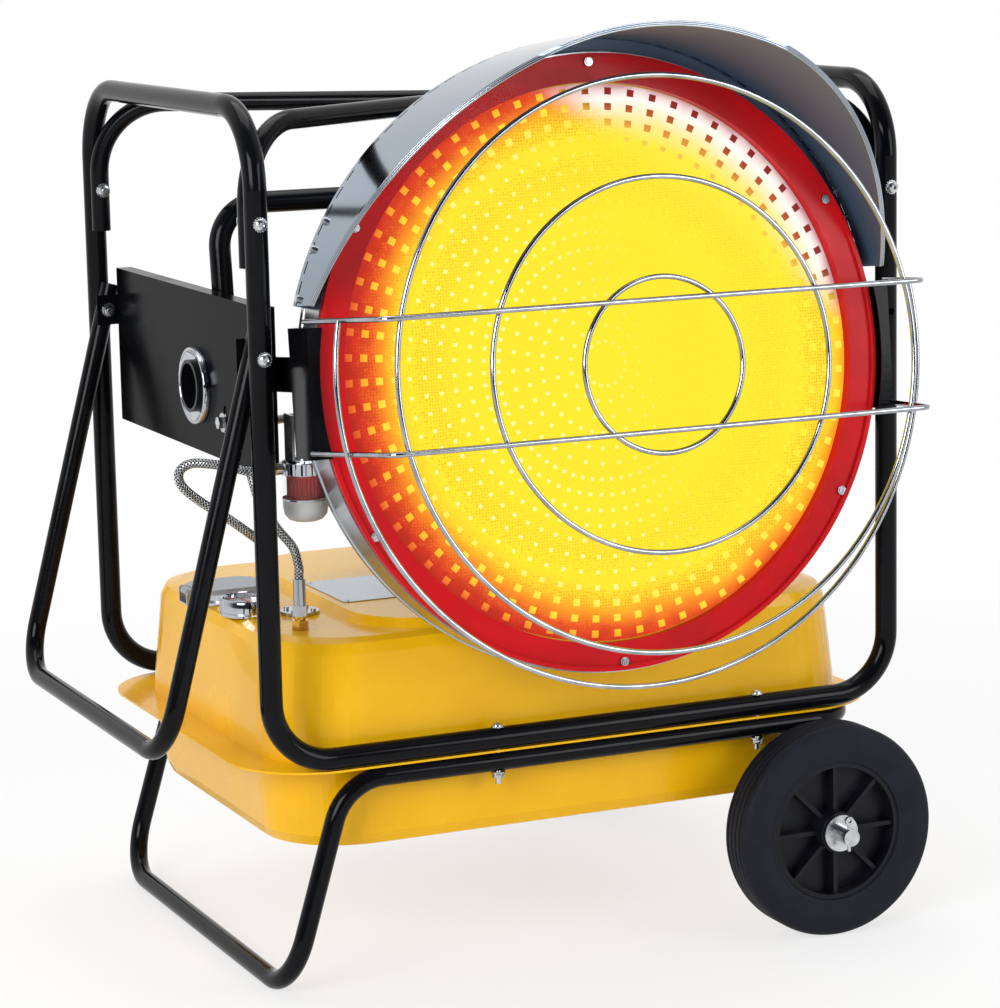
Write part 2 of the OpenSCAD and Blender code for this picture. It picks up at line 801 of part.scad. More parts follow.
bend_h = 58;

module carry_handle() {
  color(frame_black) placed() difference() {
    pipe(handle_d, tube_wall) handle_path();
    both_y() along_y([-half_w, -arm_y - handle_d, handle_z])
      cylinder(h = 2 * handle_d, d = bolt_d + 0.16);
  }
}

module handle_pivots() {
  l = half_d + tube_r - panel_y + 12;
  color(zinc) placed() both_y() {
    translate([-half_w, -half_d - tube_r - touch, handle_z]) rotate([90, 0, 0]) bolt(l);
    along_y([-half_w, -panel_y + panel_t + touch, handle_z]) nut(bolt_d);
  }
}

// Head: casing, emitter and hood

module casing_band() {
  r = casing_r;
  t = casing_t;
  b = face_y - casing_depth;
  color(steel) axial() {
    translate([0, 0, b]) ring(r, r - t, casing_depth - 1);
    translate([0, 0, b]) ring(r, r - 14, t);
    translate([0, 0, b + 9]) rotate_extrude() translate([r - 0.5, 0]) circle(r = 2);
  }
}

module casing_back() {
  t = casing_t;
  b = face_y - casing_depth - touch;
  r1 = casing_r - 16;
  r2 = chamber_r + 40;
  d = back_l;
  color(steel) axial()
    rotate_extrude()
      polygon([[chamber_r + touch, b - d], [r2, b - d], [r1, b - t], [casing_r, b - t], [casing_r, b],
        [r1 - t, b], [r2 - t, b - d + t], [chamber_r + touch, b - d + t]]);
}

module red_ring() {
  r = casing_r - casing_t - touch;
  color(signal_red) axial() {
    translate([0, 0, face_y - 2]) ring(r - 4, emitter_r, 2);
    translate([0, 0, face_y - 14]) ring(emitter_r + 1.5, emitter_r, 14);
    translate([0, 0, face_y - 6]) ring(r, r - 5, 10);
  }
}

module emitter_disc() {
  r = emitter_r - 1;
  n = 14;
  t = 1.2;
  z0 = face_y - 12;
  outer = [for (i = [0:n]) [r * i / n, z0 + dome_h * (1 - pow(i / n, 2))]];
  inner = [for (i = [n:-1:0]) [r * i / n, z0 - t + dome_h * (1 - pow(i / n, 2))]];
  color([0.95, 0.55, 0.08]) axial() {
    rotate_extrude() polygon(concat(outer, inner));
    translate([0, 0, z0 - 4]) ring(r, r - 6, 4);
  }
}

// A slab across the head between two planes: height along the hood against reach forward
module slope(f0, k0, f1, k1) {
  h = hood_r + 10;
  rotate([90, 0, 90])
    translate([0, 0, -h])
      linear_extrude(height = 2 * h)
        polygon([[-20, f0 - 20 * k0], [h, f0 + h * k0], [h, f1 + h * k1], [-20, f1 - 20 * k1]]);
}

hood_front = face_y - 47;
hood_k = 0.717;
hood_rear = face_y - 49;
hood_rk = 0.107;

module hood_arc(ro, ri, z0, z1) {
  rotate([0, 0, 90 - hood_half])
    translate([0, 0, z0])
      rotate_extrude(angle = 2 * hood_half) translate([ri, 0]) square([ro - ri, z1 - z0]);
}

module hood() {
  z0 = face_y - 60;
  z1 = face_y + hood_reach;
  color(steel) axial() {
    intersection() {
      hood_arc(hood_r, hood_r - hood_t, z0, z1);
      slope(hood_rear, hood_rk, hood_front, hood_k);
    }
    intersection() {
      hood_arc(hood_r + 2.5, hood_r - hood_t - 2, z0, z1 + 1);
      slope(hood_front - 6, hood_k, hood_front, hood_k);
    }
    intersection() {
      hood_arc(hood_r + 2.5, hood_r - hood_t - 2, z1 - 6, z1);
      slope(hood_rear, hood_rk, hood_front, hood_k);
    }
    intersection() {
      hood_arc(hood_r, casing_r + touch, z0, z1);
      slope(hood_rear, hood_rk, hood_rear + 1.5, hood_rk);
    }
  }
}

// Guard

module torus(r, f) {
  translate([0, 0, f]) rotate_extrude() translate([r, 0]) circle(d = wire_d, $fn = 32);
}

module guard_rings() {
  f = face_y + guard_out;
  color(steel) axial() {
    torus(ring_small, f);
    torus(ring_mid, f);
    torus(ring_large, f);
  }
}

bracket_x = plate_x + 2.5;
bracket_f = face_y - 43;
bracket_l = 57;
bracket_low = -77;
bracket_h = 140;
bar_f = face_y + guard_out + wire_d - 0.4;
bar_end = face_y + 8;
bar_r = 14;

bar_flare = 13.5;

module bar_path() {
  a = 90 - bar_flare;
  cut = bar_r * tan(a / 2);
  leg = (bar_f - bar_end) / cos(bar_flare) - cut;
  translate([-bar_reach - (bar_f - bar_end) * tan(bar_flare), 0, bar_end])
    rotate([0, bar_flare, 0])
      run(leg) turn(bar_r, 0, a) run(2 * bar_reach - 2 * cut) turn(bar_r, 0, a) run(leg);
}

module guard_bars() {
  color(steel) axial() for (s = [-1, 1])
    translate([0, s * bar_half, 0]) sized(wire_d) bar_path();
}

rear_f = face_y + 79;
rear_r = norm([bar_reach + (bar_f - rear_f) * tan(bar_flare), bar_half]) + wire_d - 0.4;

module guard_rear_ring() {
  a = asin(bar_half / rear_r);
  color(steel) axial()
    translate([0, 0, rear_f])
      rotate([0, 0, 180 - a])
        rotate_extrude(angle = 180 + 2 * a) translate([rear_r, 0]) circle(d = wire_d, $fn = 32);
}

// Brackets, trunnion arms and tilt hoop

module bracket() {
  t = 2;
  difference() {
    union() {
      translate([plate_x + 0.2, bracket_low, bracket_f]) cube([t, bracket_h, bracket_l]);
      for (f = [bracket_f, bracket_f + bracket_l - t])
        translate([casing_r - 24, bracket_low, f]) cube([plate_x + 0.2 + t - casing_r + 24, bracket_h, t]);
      translate([plate_x - 1, bracket_low, bracket_f]) cube([2, bracket_h, 6]);
    }
    translate([0, 0, bracket_f - 20]) cylinder(h = bracket_l + 40, r = casing_r + touch);
    translate([plate_x - plate_t - 1.2, -8, bracket_f - 1]) cube([plate_t + 1.2, 42, 40]);
  }
}

module bracket_left() { color(frame_black) axial() mirror([1, 0, 0]) bracket(); }
module bracket_right() { color(frame_black) axial() bracket(); }

arm_low = -6;
arm_h = 38;
arm_len = bracket_f + 30;

module trunnion_arm() {
  difference() {
    union() {
      translate([plate_x - plate_t, arm_low, 0]) cube([plate_t, arm_h, arm_len]);
      translate([plate_x - plate_t, 0, 0]) rotate([0, 90, 0]) cylinder(h = plate_t, r = collar_r);
      translate([plate_x - plate_t, lock_v, lock_f]) rotate([0, 90, 0]) cylinder(h = plate_t, r = 20);
      translate([plate_x - plate_t, lock_v, 0]) cube([plate_t, 40, lock_f]);
      translate([plate_x - plate_t, 0, 0]) rotate([0, 90, 0])
        cylinder(h = panel_x + 11 - plate_x + plate_t, r = trunnion_r);
    }
    translate([plate_x - plate_t - 1, 0, 0]) rotate([0, 90, 0]) cylinder(h = 60, r = trunnion_r - 4);
    translate([plate_x - plate_t - 1, lock_v, lock_f]) rotate([0, 90, 0])
      cylinder(h = plate_t + 2, d = bolt_d + 2 * touch);
    translate([0, 0, bracket_f - 20]) cylinder(h = arm_len, r = casing_r + 2.2);
  }
}

// The lock bolt's place in the head's frame
lock_f = slot_r * cos(slot_a + 180 + head_tilt);
lock_v = -slot_r * sin(slot_a + 180 + head_tilt);

module trunnion_arm_left() { color(frame_black) axial() mirror([1, 0, 0]) trunnion_arm(); }
module trunnion_arm_right() { color(frame_black) axial() trunnion_arm(); }

module lock_bolts() {
  x = panel_x + free;
  color(zinc) axial() both_x() {
    translate([x, lock_v, lock_f]) rotate([0, 90, 0]) {
      ring(11, bolt_d / 2 - eps, 2);
      translate([0, 0, 2 - eps]) cylinder(h = 6, d = 14.5, $fn = 6);
      translate([0, 0, plate_x - plate_t - 8 - x]) cylinder(h = x + 3 - plate_x + plate_t + 8, d = bolt_d);
    }
    translate([plate_x - plate_t - touch, lock_v, lock_f]) rotate([0, -90, 0]) nut(bolt_d);
  }
}

hoop_r = 50;
hoop_h = 203;
hoop_d = 25;

module tilt_hoop() {
  x = plate_x - plate_t - hoop_d / 2 - touch;
  z0 = 8;
  color(frame_black) head()
    pipe(hoop_d, tube_wall)
      translate([-x, 0, z0])
        run(hoop_h - hoop_r - z0) turn(hoop_r, 0) run(2 * x - 2 * hoop_r) turn(hoop_r, 0)
          run(hoop_h - hoop_r - z0);
}

// Burner

back_l = 91;
chamber_f = face_y - casing_depth - back_l + 2;
chamber_b = chamber_f - chamber_l;

module combustion_chamber() {
  t = 2;
  color([0.30, 0.30, 0.32]) axial() difference() {
    union() {
      translate([0, 0, chamber_b]) ring(chamber_r, chamber_r - t, chamber_l);
      translate([0, 0, chamber_b]) ring(chamber_r, 45, t);
      translate([0, 0, chamber_f - 14]) ring(chamber_r + 9, chamber_r - t, 2);
    }
  }
}

cover_f = chamber_b - touch;

module burner_cover() {
  t = cover_t;
  w = cover_w;
  h = cover_h;
  color(panel_grey) axial() difference() {
    translate([-w / 2, -h / 2, cover_f - cover_l]) cube([w, h, cover_l]);
    translate([-w / 2 + t, -h / 2 + t, cover_f - cover_l + t]) cube([w - 2 * t, h - 2 * t, cover_l]);
    for (k = [0:5])
      translate([-50, fan_v - 36 + 13 * k, cover_f - cover_l - 1]) cube([100, 6, t + 2]);
    translate([-w / 2 - 1, port_v, port_f]) rotate([0, 90, 0]) cylinder(h = 4, r = 7);
    translate([switch_x, switch_v + 15 - 11.7, cover_f - cover_l - 1]) cube([21, 23.4, t + 2]);
    translate([reset_x, switch_v + 15, cover_f - cover_l - 1]) cylinder(h = t + 2, r = 7.2);
    translate([inlet_x, switch_v + 15, cover_f - cover_l - 1]) cylinder(h = t + 2, r = 12.2);
  }
}

fan_v = 42;
switch_x = -76;
switch_v = -118;
reset_x = 0;
inlet_x = 55;
port_v = -50;
port_f = -102;

motor_d = 88;
motor_l = 61.5;
shaft_d = 10;
shaft_l = 66;

module blower_motor() {
  f = cover_f - motor_l - 0.5;
  color(steel) axial() {
    translate([0, fan_v, f]) cylinder(h = motor_l, d = motor_d);
    translate([0, fan_v, f - 10]) cylinder(h = 10.5, d = 24);
    translate([0, fan_v, f - shaft_l]) cylinder(h = shaft_l + 0.5, d = shaft_d);
  }
}

module blower_wheel() {
  f = cover_f - cover_l + 10;
  color(steel) axial() translate([0, fan_v, f]) {
    ring(fan_d / 2, fan_d / 2 - 3, 30);
    translate([0, 0, 26]) ring(fan_d / 2 - 1, 12, 3);
    ring(14, shaft_d / 2 + 0.08, 29);
    for (k = [0:7])
      rotate([0, 0, k * 45]) translate([12, -1, 2]) cube([fan_d / 2 - 13, 2, 26]);
  }
}

module fuel_pump() {
  color(zinc) axial() {
    translate([-cover_w / 2 + 12, port_v - 58, port_f - 30]) cube([52, 76, 56]);
    translate([-cover_w / 2 - 12, port_v, port_f]) rotate([0, 90, 0]) cylinder(h = 30, d = 12);
    translate([-cover_w / 2 - 12, port_v, port_f]) rotate([0, 90, 0]) cylinder(h = 8, d = 16, $fn = 6);
    translate([-cover_w / 2 + 38, port_v - 46, port_f + 24]) cylinder(h = cover_f - port_f - 24, d = 20);
  }
}

module nozzle_tube() {
  color(steel) axial() {
    translate([0, -40, chamber_b - 20]) cylinder(h = 90, d = 28);
    translate([0, -40, chamber_b + 60]) cylinder(h = 16, d = 14, $fn = 6);
    translate([0, -40, chamber_b - 8]) cylinder(h = 8 - touch, d = 56);
    translate([0, -40, chamber_b + 40]) rotate([0, 90, 0]) cylinder(h = 60, d = 5, center = true);
  }
}

module power_inlet() {
  color(rubber) axial() translate([inlet_x, switch_v + 15, cover_f - cover_l]) {
    translate([0, 0, -16]) ring(11, 5, 36);
    translate([0, 0, -10 - touch]) ring(17, 10, 10);
    translate([0, 0, cover_t + touch]) ring(16, 10, 5);
  }
}

module rocker_switch() {
  color(signal_red) axial() translate([switch_x + 10.5, switch_v + 15, cover_f - cover_l + 6])
    difference() {
      rotate([0, 90, 0]) cylinder(h = 20, r = 12, center = true);
      for (s = [-1, 1])
        translate([0, 0, -9]) rotate([s * 12, 0, 0])
          translate([0, s * 12, -7]) cube([22, 24, 10], center = true);
    }
}

module reset_button() {
  color(signal_red) axial() translate([reset_x, switch_v + 15, cover_f - cover_l]) {
    translate([0, 0, -8]) cylinder(h = 20, r = 7.1);
  }
}

// Fuel strainer

strap_h = 52;
strainer_at = [-plate_x + 22.8, -half_d + 26.5, pivot_z - 60];

module strainer_head() {
  color(zinc) placed() translate(strainer_at) {
    translate([0, 0, -14]) cylinder(h = 14, d = bowl_d);
    translate([0, 0, -1]) cylinder(h = 6, d = 24);
    translate([-18, -12, 0]) cube([3, 24, strap_h]);
    translate([-18, -12, 0]) cube([24, 24, 3]);
    translate([-20, 0, -6.6]) rotate([0, -90, 0]) cylinder(h = 14, d = 13);
  }
}

module strainer_element() {
  color(signal_red) placed() translate(strainer_at)
    translate([0, 0, -14 - 30]) ring(bowl_d / 2 - 5, bowl_d / 2 - 9, 30 - touch);
}

module strainer_bowl() {
  r = bowl_d / 2;
  color([0.9, 0.9, 0.92, 0.5]) placed() translate(strainer_at) translate([0, 0, -14 - touch]) {
    translate([0, 0, -bowl_h + 6]) ring(r, r - 2.5, bowl_h - 6);
    translate([0, 0, -bowl_h + 4]) cylinder(h = 3, r = r - 1);
    translate([0, 0, -bowl_h]) cylinder(h = 5, r = 9);
  }
}

module head_screws() {
  color(zinc) axial() {
    for (k = [0:5])
      rotate([0, 0, 60 * k]) translate([0, casing_r - 11, face_y + touch]) rotate([0, 0, 0]) bolt(8, screw_d, 10);
    for (a = [60.8, 66, 74.8], s = [-1, 1])
      rotate([0, 0, s * a])
        translate([0, hood_r + touch, hood_rear + hood_rk * hood_r * cos(a) + 14])
          rotate([-90, 0, 0]) bolt(6, screw_d, 9);
  }
}

front_frame();
rear_frame();
top_brace();
side_panel_left();
side_panel_right();
trunnion_collars();
lower_frame();
axle_brackets();
axle();
wheel_washers();
split_pins();
tank_upper();
tank_lower();
filler_neck();
filler_cap();
gauge_body();
gauge_glass();
gauge_needle();
pickup_plate();
brass_unions();
hose_nuts();
supply_hose();
return_hose();
frame_bolts();
tank_bolts();
handle_pivots();
drain_plug();
carry_handle();
front_tyre();
front_rim();
rear_tyre();
rear_rim();
casing_band();
casing_back();
red_ring();
emitter_disc();
hood();
guard_rings();
guard_bars();
guard_rear_ring();
bracket_left();
bracket_right();
trunnion_arm_left();
trunnion_arm_right();
tilt_hoop();
combustion_chamber();
burner_cover();
blower_motor();
blower_wheel();
fuel_pump();
nozzle_tube();
strainer_head();
strainer_bowl();
strainer_element();
head_screws();
lock_bolts();
power_inlet();
rocker_switch();
reset_button();
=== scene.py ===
"""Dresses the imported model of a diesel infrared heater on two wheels: the glowing emitter with
its pressed nubs, the braided fuel hoses, the beads and slots of the hood, the tyres, the dial,
and a procedural finish for every solid that is kept as it was packed."""

import math

import bmesh
import bpy
from bpy.props import FloatProperty, IntProperty, PointerProperty, StringProperty
from bpy.types import Operator, Panel, PropertyGroup
from mathutils import Matrix, Vector


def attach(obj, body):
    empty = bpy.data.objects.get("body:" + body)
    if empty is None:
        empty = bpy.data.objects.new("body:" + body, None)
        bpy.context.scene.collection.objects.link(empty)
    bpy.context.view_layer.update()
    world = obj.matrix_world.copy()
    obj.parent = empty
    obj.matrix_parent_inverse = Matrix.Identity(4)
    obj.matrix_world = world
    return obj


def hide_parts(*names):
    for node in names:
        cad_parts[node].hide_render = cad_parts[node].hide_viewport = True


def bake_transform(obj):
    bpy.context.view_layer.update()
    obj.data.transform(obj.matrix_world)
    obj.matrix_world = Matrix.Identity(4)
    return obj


bl_info = {
    "name": "Infrared heater",
    "version": (1, 0, 0),
    "blender": (4, 5, 0),
    "location": "3D View > Sidebar > Heater",
    "description": "Finishes and fine pieces of a diesel infrared heater on wheels",
    "category": "Object",
}

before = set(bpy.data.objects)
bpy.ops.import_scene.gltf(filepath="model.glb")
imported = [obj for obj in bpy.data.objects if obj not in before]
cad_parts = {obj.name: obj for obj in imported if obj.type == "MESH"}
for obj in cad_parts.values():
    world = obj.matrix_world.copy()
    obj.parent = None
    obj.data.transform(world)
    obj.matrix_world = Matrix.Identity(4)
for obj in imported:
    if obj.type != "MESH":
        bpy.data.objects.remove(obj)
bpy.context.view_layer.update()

FULL, RIGHT = 2.0 * math.pi, math.pi / 2.0

# Places, in metres, as in the part's source. Most are measured from the frame's middle.
MIDDLE = Vector((0.053025, 0.06429, 0.0))
PLACED = Matrix.Translation(MIDDLE)

# The head turns about PIVOT and looks up by TILT. Its round pieces have Z forward along its axis.
PIVOT = Vector((0.0, -0.038, 0.660))
TILT = math.radians(6.0)
HEAD = Matrix.Translation(MIDDLE + PIVOT) @ Matrix.Rotation(-TILT, 4, "X")
AXIAL = HEAD @ Matrix.Rotation(math.radians(90.0), 4, "X")

FACE = 0.296
EMITTER_R = 0.309
HOOD_R = 0.358
# The hood's edges slope: how far forward they are at the axis, and how much more with height
HOOD_FRONT, HOOD_FRONT_SLOPE = 0.249, 0.717
HOOD_REAR, HOOD_REAR_SLOPE = 0.247, 0.107
HOOD_REACH = FACE + 0.188
HOOD_HALF_TURN = 76.0
PANEL_X = 0.3733
STRAINER_AT = Vector((-0.329, -0.256, 0.600))
BOWL_R, BOWL_H, BOWL_TOP = 0.025, 0.052, -0.0141
FROST_TOP = -0.0415

# The tank's top, its raised middle, and the gauge and plate on them
DECK, PLATEAU = 0.393, 0.403
GAUGE_AT = Vector((-0.327, -0.054, DECK))
GAUGE_R, DIAL = 0.033, 0.013
PLATE_AT = Vector((-0.163, -0.0335, PLATEAU + 0.0006))
PLATE = (0.126, 0.133, 0.0007)

# The frame's tubes, with the bolts that hold the frame, the carry handle and the tank
HALF_W, HALF_D, TUBE_R = 0.386, 0.2825, 0.0127
FRAME_BOLT_Z, HANDLE_Z = 0.863, 0.719
TANK_BOLT_X, TANK_BOLT_Z = (-0.118, 0.212), 0.2828

AXLE = Vector((0.282, 0.0, 0.125))
WHEEL_Y = 0.3266
TYRE_R, RIM_R, TYRE_W = 0.125, 0.081, 0.055

# The hoses' routes in mm, from the tank's hose nuts to the strainer and to the fuel pump, and
# where, in metres, each stops riding on the frame and starts riding on the head
HOSES = {
    "supply_hose": (
        [(-332, -132, 451), (-332, -132, 458), (-332, -132, 465), (-338, -150, 488),
         (-362, -178, 506), (-396, -186, 532), (-426, -184, 553), (-446, -184, 572),
         (-449, -187, 588), (-438, -194, 597), (-420, -208, 597), (-403.5, -229, 595),
         (-393.5, -246.5, 592.8), (-384, -254.5, 593), (-374, -256, 593.4), (-363.3, -256, 593.4)],
        (-0.332, -0.132, 0.468), (-0.374, -0.256, 0.5934)),
    "return_hose": (
        [(-306, -167, 451), (-306, -167, 458), (-306, -167, 465), (-310, -162, 486),
         (-325, -153, 508), (-341, -143, 538), (-346, -132, 566), (-346, -116, 588),
         (-341, -84, 600), (-316, -30, 604), (-262, 20, 603), (-200, 48, 601), (-156, 60, 600),
         (-141, 60, 600), (-127, 60, 600)],
        (-0.306, -0.167, 0.468), (-0.141, 0.060, 0.600)),
}

# The glow from the emitter's middle to its rim, as shares of the radius: of the sheet and of its
# nubs, each with the paler colours of a painted highlight that take over at the upper right
SHEET_HEAT = [(0.0, "#FDE52A"), (0.73, "#FDE32C"), (0.79, "#FFCE28"), (0.835, "#F98E22"),
              (0.875, "#E6521E"), (0.93, "#CC2E1C"), (0.98, "#9C2018")]
SHEET_PAINTED_HIGHLIGHT = [(0.0, "#FDE52A"), (0.80, "#FDE63C"), (0.87, "#FBE88A"), (0.915, "#FBF2CC"),
              (0.95, "#FDFAF2"), (0.98, "#EBD2D0"), (1.0, "#C48E92")]
NUB_HEAT = [(0.0, "#FDE52A"), (0.72, "#FEE63A"), (0.80, "#FFE64C"), (0.86, "#FFD434"),
            (0.905, "#FBAA2A"), (0.945, "#E8662A"), (0.98, "#C23A20")]
NUB_PAINTED_HIGHLIGHT = [(0.0, "#FDE52A"), (0.74, "#FBDC40"), (0.80, "#F0C050"), (0.86, "#DC9038"),
            (0.91, "#B4562C"), (0.955, "#8E2A26"), (1.0, "#7E1C20")]


# ---------------------------------------------------------------- settings


class HeaterSizes(PropertyGroup):
    hose_diameter: FloatProperty(
        name="Hose diameter", description="Outside diameter of the braided hoses",
        default=0.0105, min=0.006, max=0.014, unit="LENGTH")
    nub_size: FloatProperty(
        name="Nub size", description="Width of one square nub pressed into the emitter",
        default=0.0086, min=0.004, max=0.012, unit="LENGTH")
    nub_rays: IntProperty(
        name="Nub rays", description="Rays of nubs round the emitter's rim",
        default=68, min=24, max=96)
    nub_pitch: FloatProperty(
        name="Nub pitch", description="Distance from one ring of nubs to the next",
        default=0.0172, min=0.012, max=0.03, unit="LENGTH")


class HeaterColours(PropertyGroup):
    frame_black: StringProperty(
        name="Frame", description="Gloss black of the tube frame, as sRGB hex", default="#08080A")
    tank_yellow: StringProperty(
        name="Tank", description="Yellow enamel of the fuel tank, as sRGB hex", default="#EBB00A")
    ring_red: StringProperty(
        name="Ring", description="Red enamel of the ring, as sRGB hex", default="#C8171D")
    floor_white: FloatProperty(
        name="Floor", description="Share of the floor by the heater that glows white",
        default=0.70, min=0.0, max=1.0, subtype="FACTOR")


# ---------------------------------------------------------------- materials


def rgb(code):
    """An sRGB hex value as linear red, green, blue and alpha."""
    parts = [int(code[i:i + 2], 16) / 255.0 for i in (1, 3, 5)]
    return tuple(c / 12.92 if c <= 0.04045 else ((c + 0.055) / 1.055) ** 2.4
                 for c in parts) + (1.0,)


def output(source):
    """The output that a pair of node and output names, or the first one of a node alone."""
    return source[0].outputs[source[1]] if isinstance(source, tuple) else source.outputs[0]


def add(tree, kind, values=None, links=None, ramp=None, **settings):
    """Adds one node of a kind, sets it, fills and links its sockets, and gives a colour ramp its
    stops as pairs of position and sRGB hex. A colour Mix takes its two colours at 6 and 7 and
    gives the mixed one at 2."""
    made = tree.nodes.new("ShaderNode" + kind)
    for key, value in settings.items():
        setattr(made, key, value)
    for key, value in (values or {}).items():
        made.inputs[key].default_value = value
    for key, source in (links or {}).items():
        tree.links.new(output(source), made.inputs[key])
    if ramp:
        elements = made.color_ramp.elements
        while len(elements) < len(ramp):
            elements.new(1.0)
        for element, (position, code) in zip(elements, ramp):
            element.position = position
            element.color = rgb(code)
    return made


def feed(tree, skin, **sources):
    """Links the shader's sockets."""
    for key, source in sources.items():
        tree.links.new(output(source), skin.inputs[key.replace("_", " ")])


def shader(name, **sockets):
    """A material with its shader; the sockets hold what is the same all over."""
    made = bpy.data.materials.new(name)
    made.use_nodes = True
    tree = made.node_tree
    tree.nodes.clear()
    skin = add(tree, "BsdfPrincipled")
    for key, value in sockets.items():
        skin.inputs[key.replace("_", " ")].default_value = value
    add(tree, "OutputMaterial", links={"Surface": skin})
    return made, tree, skin


def vary(tree, skin, place, size, rough, codes, detail=3.0):
    """Roughness and colour that wander between two values, in patches of a size in mm."""
    cloud = add(tree, "TexNoise", {"Scale": 1000.0 / size, "Detail": detail}, {"Vector": place})
    span = add(tree, "MapRange",
               {"From Min": 0.3, "From Max": 0.7, "To Min": rough[0], "To Max": rough[1]},
               {"Value": cloud})
    tone = add(tree, "ValToRGB", links={"Fac": cloud}, ramp=[(0.3, codes[0]), (0.7, codes[1])])
    feed(tree, skin, Roughness=span, Base_Color=tone)
    return cloud


def surface(name, codes, size, rough, fine, detail=2.0, **sockets):
    """A finish with patches of a size in mm, and a fine unevenness of a size and height in mm."""
    made, tree, skin = shader(name, **sockets)
    place = (add(tree, "TexCoord"), "Object")
    vary(tree, skin, place, size, rough, codes)
    grain = add(tree, "TexNoise", {"Scale": 1000.0 / fine[0], "Detail": detail}, {"Vector": place})
    bump = add(tree, "Bump", {"Strength": 1.0, "Distance": fine[1] / 1000.0}, {"Height": grain})
    feed(tree, skin, Normal=bump)
    return made


def enamel(name, codes, size, rough, fine, level, **more):
    # Stoved enamel or paint on steel: an even coat with a soft wave or orange peel in its gloss
    return surface(name, codes, size, rough, fine, IOR=1.5, Specular_IOR_Level=level, **more)


def plated(name, light, dark, rough, size):
    # Plated, turned or cast metal: bright, with small cloudy differences in its surface
    return surface(name, (dark, light), size, rough, (1.5, 0.01), Metallic=1.0)


def moulded(name, light, dark, rough, height=0.02, shine=0.5):
    # Moulded plastic or rubber: a matt skin with a fine moulded grain
    return surface(name, (dark, light), 25.0, rough, (1.2, height), IOR=1.5,
                   Specular_IOR_Level=shine)


def brushed(name, light, dark, rough, streak):
    # Rolled sheet metal: mirror-like, with fine rolling streaks along the sheet
    made, tree, skin = shader(name, Metallic=1.0)
    where = add(tree, "TexCoord")
    drawn = add(tree, "Mapping", {"Scale": (1.0, 0.06, 0.06)}, {"Vector": (where, "Object")})
    cloud = vary(tree, skin, drawn, streak, rough, (dark, light), 6.0)
    bump = add(tree, "Bump", {"Strength": 1.0, "Distance": 0.00002}, {"Height": cloud})
    feed(tree, skin, Normal=bump)
    return made


def clear(name, rough, body, frost_below=None):
    # Clear moulded plastic: see-through, with a milky frosting below a height where one is given
    made, tree, skin = shader(name, IOR=1.45, Alpha=body)
    where = add(tree, "TexCoord")
    vary(tree, skin, (where, "Object"), 20.0, rough, ("#A4A4A2", "#B6B5B3"))
    if frost_below is not None:
        parts = add(tree, "SeparateXYZ", links={"Vector": (where, "Object")})
        milky = add(tree, "MapRange",
                    {"From Min": frost_below, "From Max": frost_below + 0.0008, "To Min": 0.93,
                     "To Max": body}, {"Value": (parts, "Z")})
        feed(tree, skin, Alpha=milky)
    return made


def wire_braid():
    # Stainless wire braid: bright strands crossing over and under, dark in the gaps. A turn of
    # its 7 strands takes 28 mm of hose, which is coarser than real, so that it shows.
    strands, turn_length = 7.0, 0.028
    made, tree, skin = shader("stainless_wire_braid", Metallic=1.0)
    where = add(tree, "UVMap", uv_map="braid")
    parts = add(tree, "SeparateXYZ", links={"Vector": (where, "UV")})
    waves = []
    for sign in (1.0, -1.0):
        turn = add(tree, "Math", {1: sign * strands / turn_length}, {0: (parts, "Y")},
                   operation="MULTIPLY")
        lean = add(tree, "Math", {1: strands}, {0: (parts, "X"), 2: turn}, operation="MULTIPLY_ADD")
        angle = add(tree, "Math", {1: FULL}, {0: lean}, operation="MULTIPLY")
        waves.append(add(tree, "Math", links={0: angle}, operation="SINE"))
    top = add(tree, "Math", links={0: waves[0], 1: waves[1]}, operation="MAXIMUM")
    deep = add(tree, "MapRange", {"From Min": -0.1, "From Max": 0.95}, {"Value": top})
    tone = add(tree, "ValToRGB", links={"Fac": deep},
               ramp=[(0.0, "#2C2E30"), (0.5, "#7E8185"), (1.0, "#DEE0E2")])
    rough = add(tree, "MapRange", {"To Min": 0.5, "To Max": 0.22}, {"Value": deep})
    bump = add(tree, "Bump", {"Strength": 1.0, "Distance": 0.0012}, {"Height": deep})
    feed(tree, skin, Base_Color=tone, Roughness=rough, Normal=bump)
    return made


def head_place(tree):
    """The object's coordinates in the head's own axes, and how far out from its axis they are."""
    back = AXIAL.inverted()
    where = add(tree, "TexCoord")
    moved = add(tree, "Mapping", {"Location": back.translation, "Rotation": back.to_euler()},
                {"Vector": (where, "Object")})
    flat = add(tree, "VectorMath", {1: (1.0, 1.0, 0.0)}, {0: moved}, operation="MULTIPLY")
    out = add(tree, "VectorMath", links={0: flat}, operation="LENGTH")
    return moved, out


